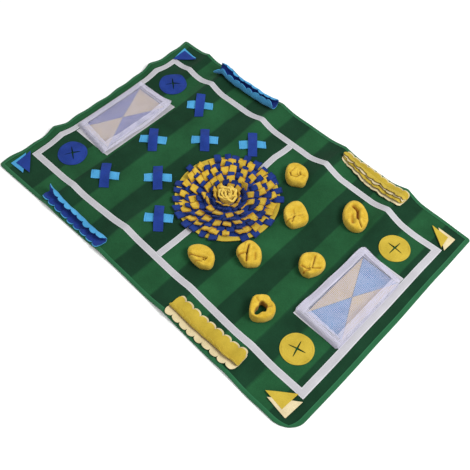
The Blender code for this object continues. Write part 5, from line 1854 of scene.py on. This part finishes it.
def frill_sections(row):
    """The grids of one row's strips and leaves, by layer, before they are set on the cloth."""
    first, second = Vector(row["from"]), Vector(row["to"])
    to_pitch = -1 if first.y > 0 else 1
    nest = FELT + 2 * GAP
    phase = len(row["name"])
    grids = {layer: [] for layer in ("under", "over", *row["leaves"])}
    for k in range(FRILL_STATIONS + 1):
        share = k / FRILL_STATIONS
        wave = row["wave"] * math.sin(2 * math.pi * share * WAVES + phase)
        ruffle = wave + RUFFLE_LEAN * math.sin(2 * math.pi * share * RUFFLES + 2 * phase)
        seam = first.lerp(second, share) - Vector((0.0, to_pitch * even_table(row["off"], share)))
        base = on_ground(seam.x, seam.y, GAP + FELT / 2)
        leans = leans_at(row["under"], share, ruffle)
        slim = even_table(row["narrow"], share)
        halves = [half * slim for half in row["halves"]]
        shifts = (0.0, SECOND_SHIFT)
        cuts = [page_cut(share, shift, half, row["lobes"]) for shift, half in zip(shifts, halves)]
        lines = {"under": strip_line(Vector((0.0, 0.0)), leans, halves, cuts)}
        if "inset" in row:
            halves = [half - row["inset"] for half in halves]
            cuts = [min(cut, MOST_CUT * half) for cut, half in zip(cuts, halves)]
            start = nested_seam(leans, nest)
            lines["over"] = strip_line(start, leans_at(row["over"], share, ruffle), halves, cuts)
        else:
            lines["over"] = lining_line(lines["under"], nest + LINING_SLACK, row["over"])
        for leaf in row["leaves"]:
            _, width, above, leaf_leans = leaf
            root = Vector((0.001, above * nest))
            wander = LEAF_WANDER * math.sin(2 * math.pi * share * LEAF_WANDERS + above)
            wander += scallop(share, LEAF_SHIFT) * LEAF_SCALLOP
            leaf_leans = [lean + LEAF_RUFFLE * ruffle for lean in leaf_leans]
            lines[leaf] = page(root, 1, leaf_leans, width * slim, wander)
        for layer, line in lines.items():
            grids[layer].append([base + Vector((0, to_pitch * sideways, up)) for sideways, up in line])
    return grids


def make_frill(row):
    row = {**PLAIN_ROW, **row}
    grids = frill_sections(row)
    rise = 0.0
    for line in grids["under"]:
        for point in line:
            rise = max(rise, top_at(point.x, point.y, 0.0) + GAP + FELT / 2 - point.z)
    colours = PAGE_COLOURS[row["name"].split("_")[1]]
    for number, (layer, grid) in enumerate(grids.items(), 1):
        grid = [[point + Vector((0, 0, rise)) for point in line] for line in grid]
        colour = colours[layer] if layer in colours else layer[0]
        node = "frill_{}_{}".format(row["name"], "under" if number == 1 else "over")
        made = slab("frill_page_{}_{}".format(row["name"], number), grid, FELT, FELTS[colour])
        declare(made, node, SLOTS[colour], cut_size(grid))


for row in FRILLS:
    make_frill(row)

# %% [markdown]
# ## Corner flags
# Two stacked felt triangles lie in each corner, the stronger colour on top. They are sewn down at the corner,
# so their long side is free and curls up a little. Each is a grid that narrows to its tip, like a goal flap.

# %% Corner flags
FLAGS = {  # for each corner: the lower and the upper triangle
    "far_blue": (((-0.480, 0.308), (-0.424, 0.300), (-0.472, 0.262)),
                 ((-0.471, 0.300), (-0.419, 0.295), (-0.469, 0.252))),
    "near_blue": (((-0.480, -0.314), (-0.480, -0.266), (-0.432, -0.312)),
                  ((-0.471, -0.304), (-0.476, -0.254), (-0.420, -0.300))),
    "far_yellow": (((0.477, 0.301), (0.427, 0.302), (0.476, 0.254)),
                   ((0.461, 0.293), (0.412, 0.296), (0.466, 0.256))),
    "near_yellow": (((0.479, -0.330), (0.482, -0.277), (0.420, -0.322)),
                    ((0.461, -0.320), (0.464, -0.270), (0.408, -0.314))),
}  # fmt: skip
FLAG_CURL, FLAG_END = 0.0010, 0.98
FLAG_CELLS = 14


def make_flag(name, triangles):
    colours = PAGE_COLOURS[name.split("_")[1]]
    for layer, corners in zip(("under", "over"), triangles):
        above = GAP + FELT / 2 + TAPE_THICK + GAP + (FELT + GAP if layer == "over" else 0.0)
        tip, left, right = (Vector(corner) for corner in corners)
        grid = []
        for t in steps(0.0, FLAG_END, FLAG_CELLS):
            row = []
            for s in steps(0.0, 1.0, FLAG_CELLS):
                place = left.lerp(right, s).lerp(tip, t)
                curl = FLAG_CURL * (1 + math.sin(4 * s + 3 * t + len(name)))
                row.append(on_ground(place.x, place.y, above + curl * (1 - t)))
            grid.append(row)
        colour = colours[layer]
        made = slab("flag_felt_{}_{}".format(name, layer), grid, FELT, FELTS[colour])
        node = "flag_{}_{}".format(name, layer)
        declare(made, node, SLOTS[colour], triangle_size(grid))


for corner, triangles in FLAGS.items():
    make_flag(corner, triangles)

# %% [markdown]
# ## Finish
# The stitch that was repeated is removed.

# %% Finish
bpy.data.objects.remove(STITCH, do_unlink=True)
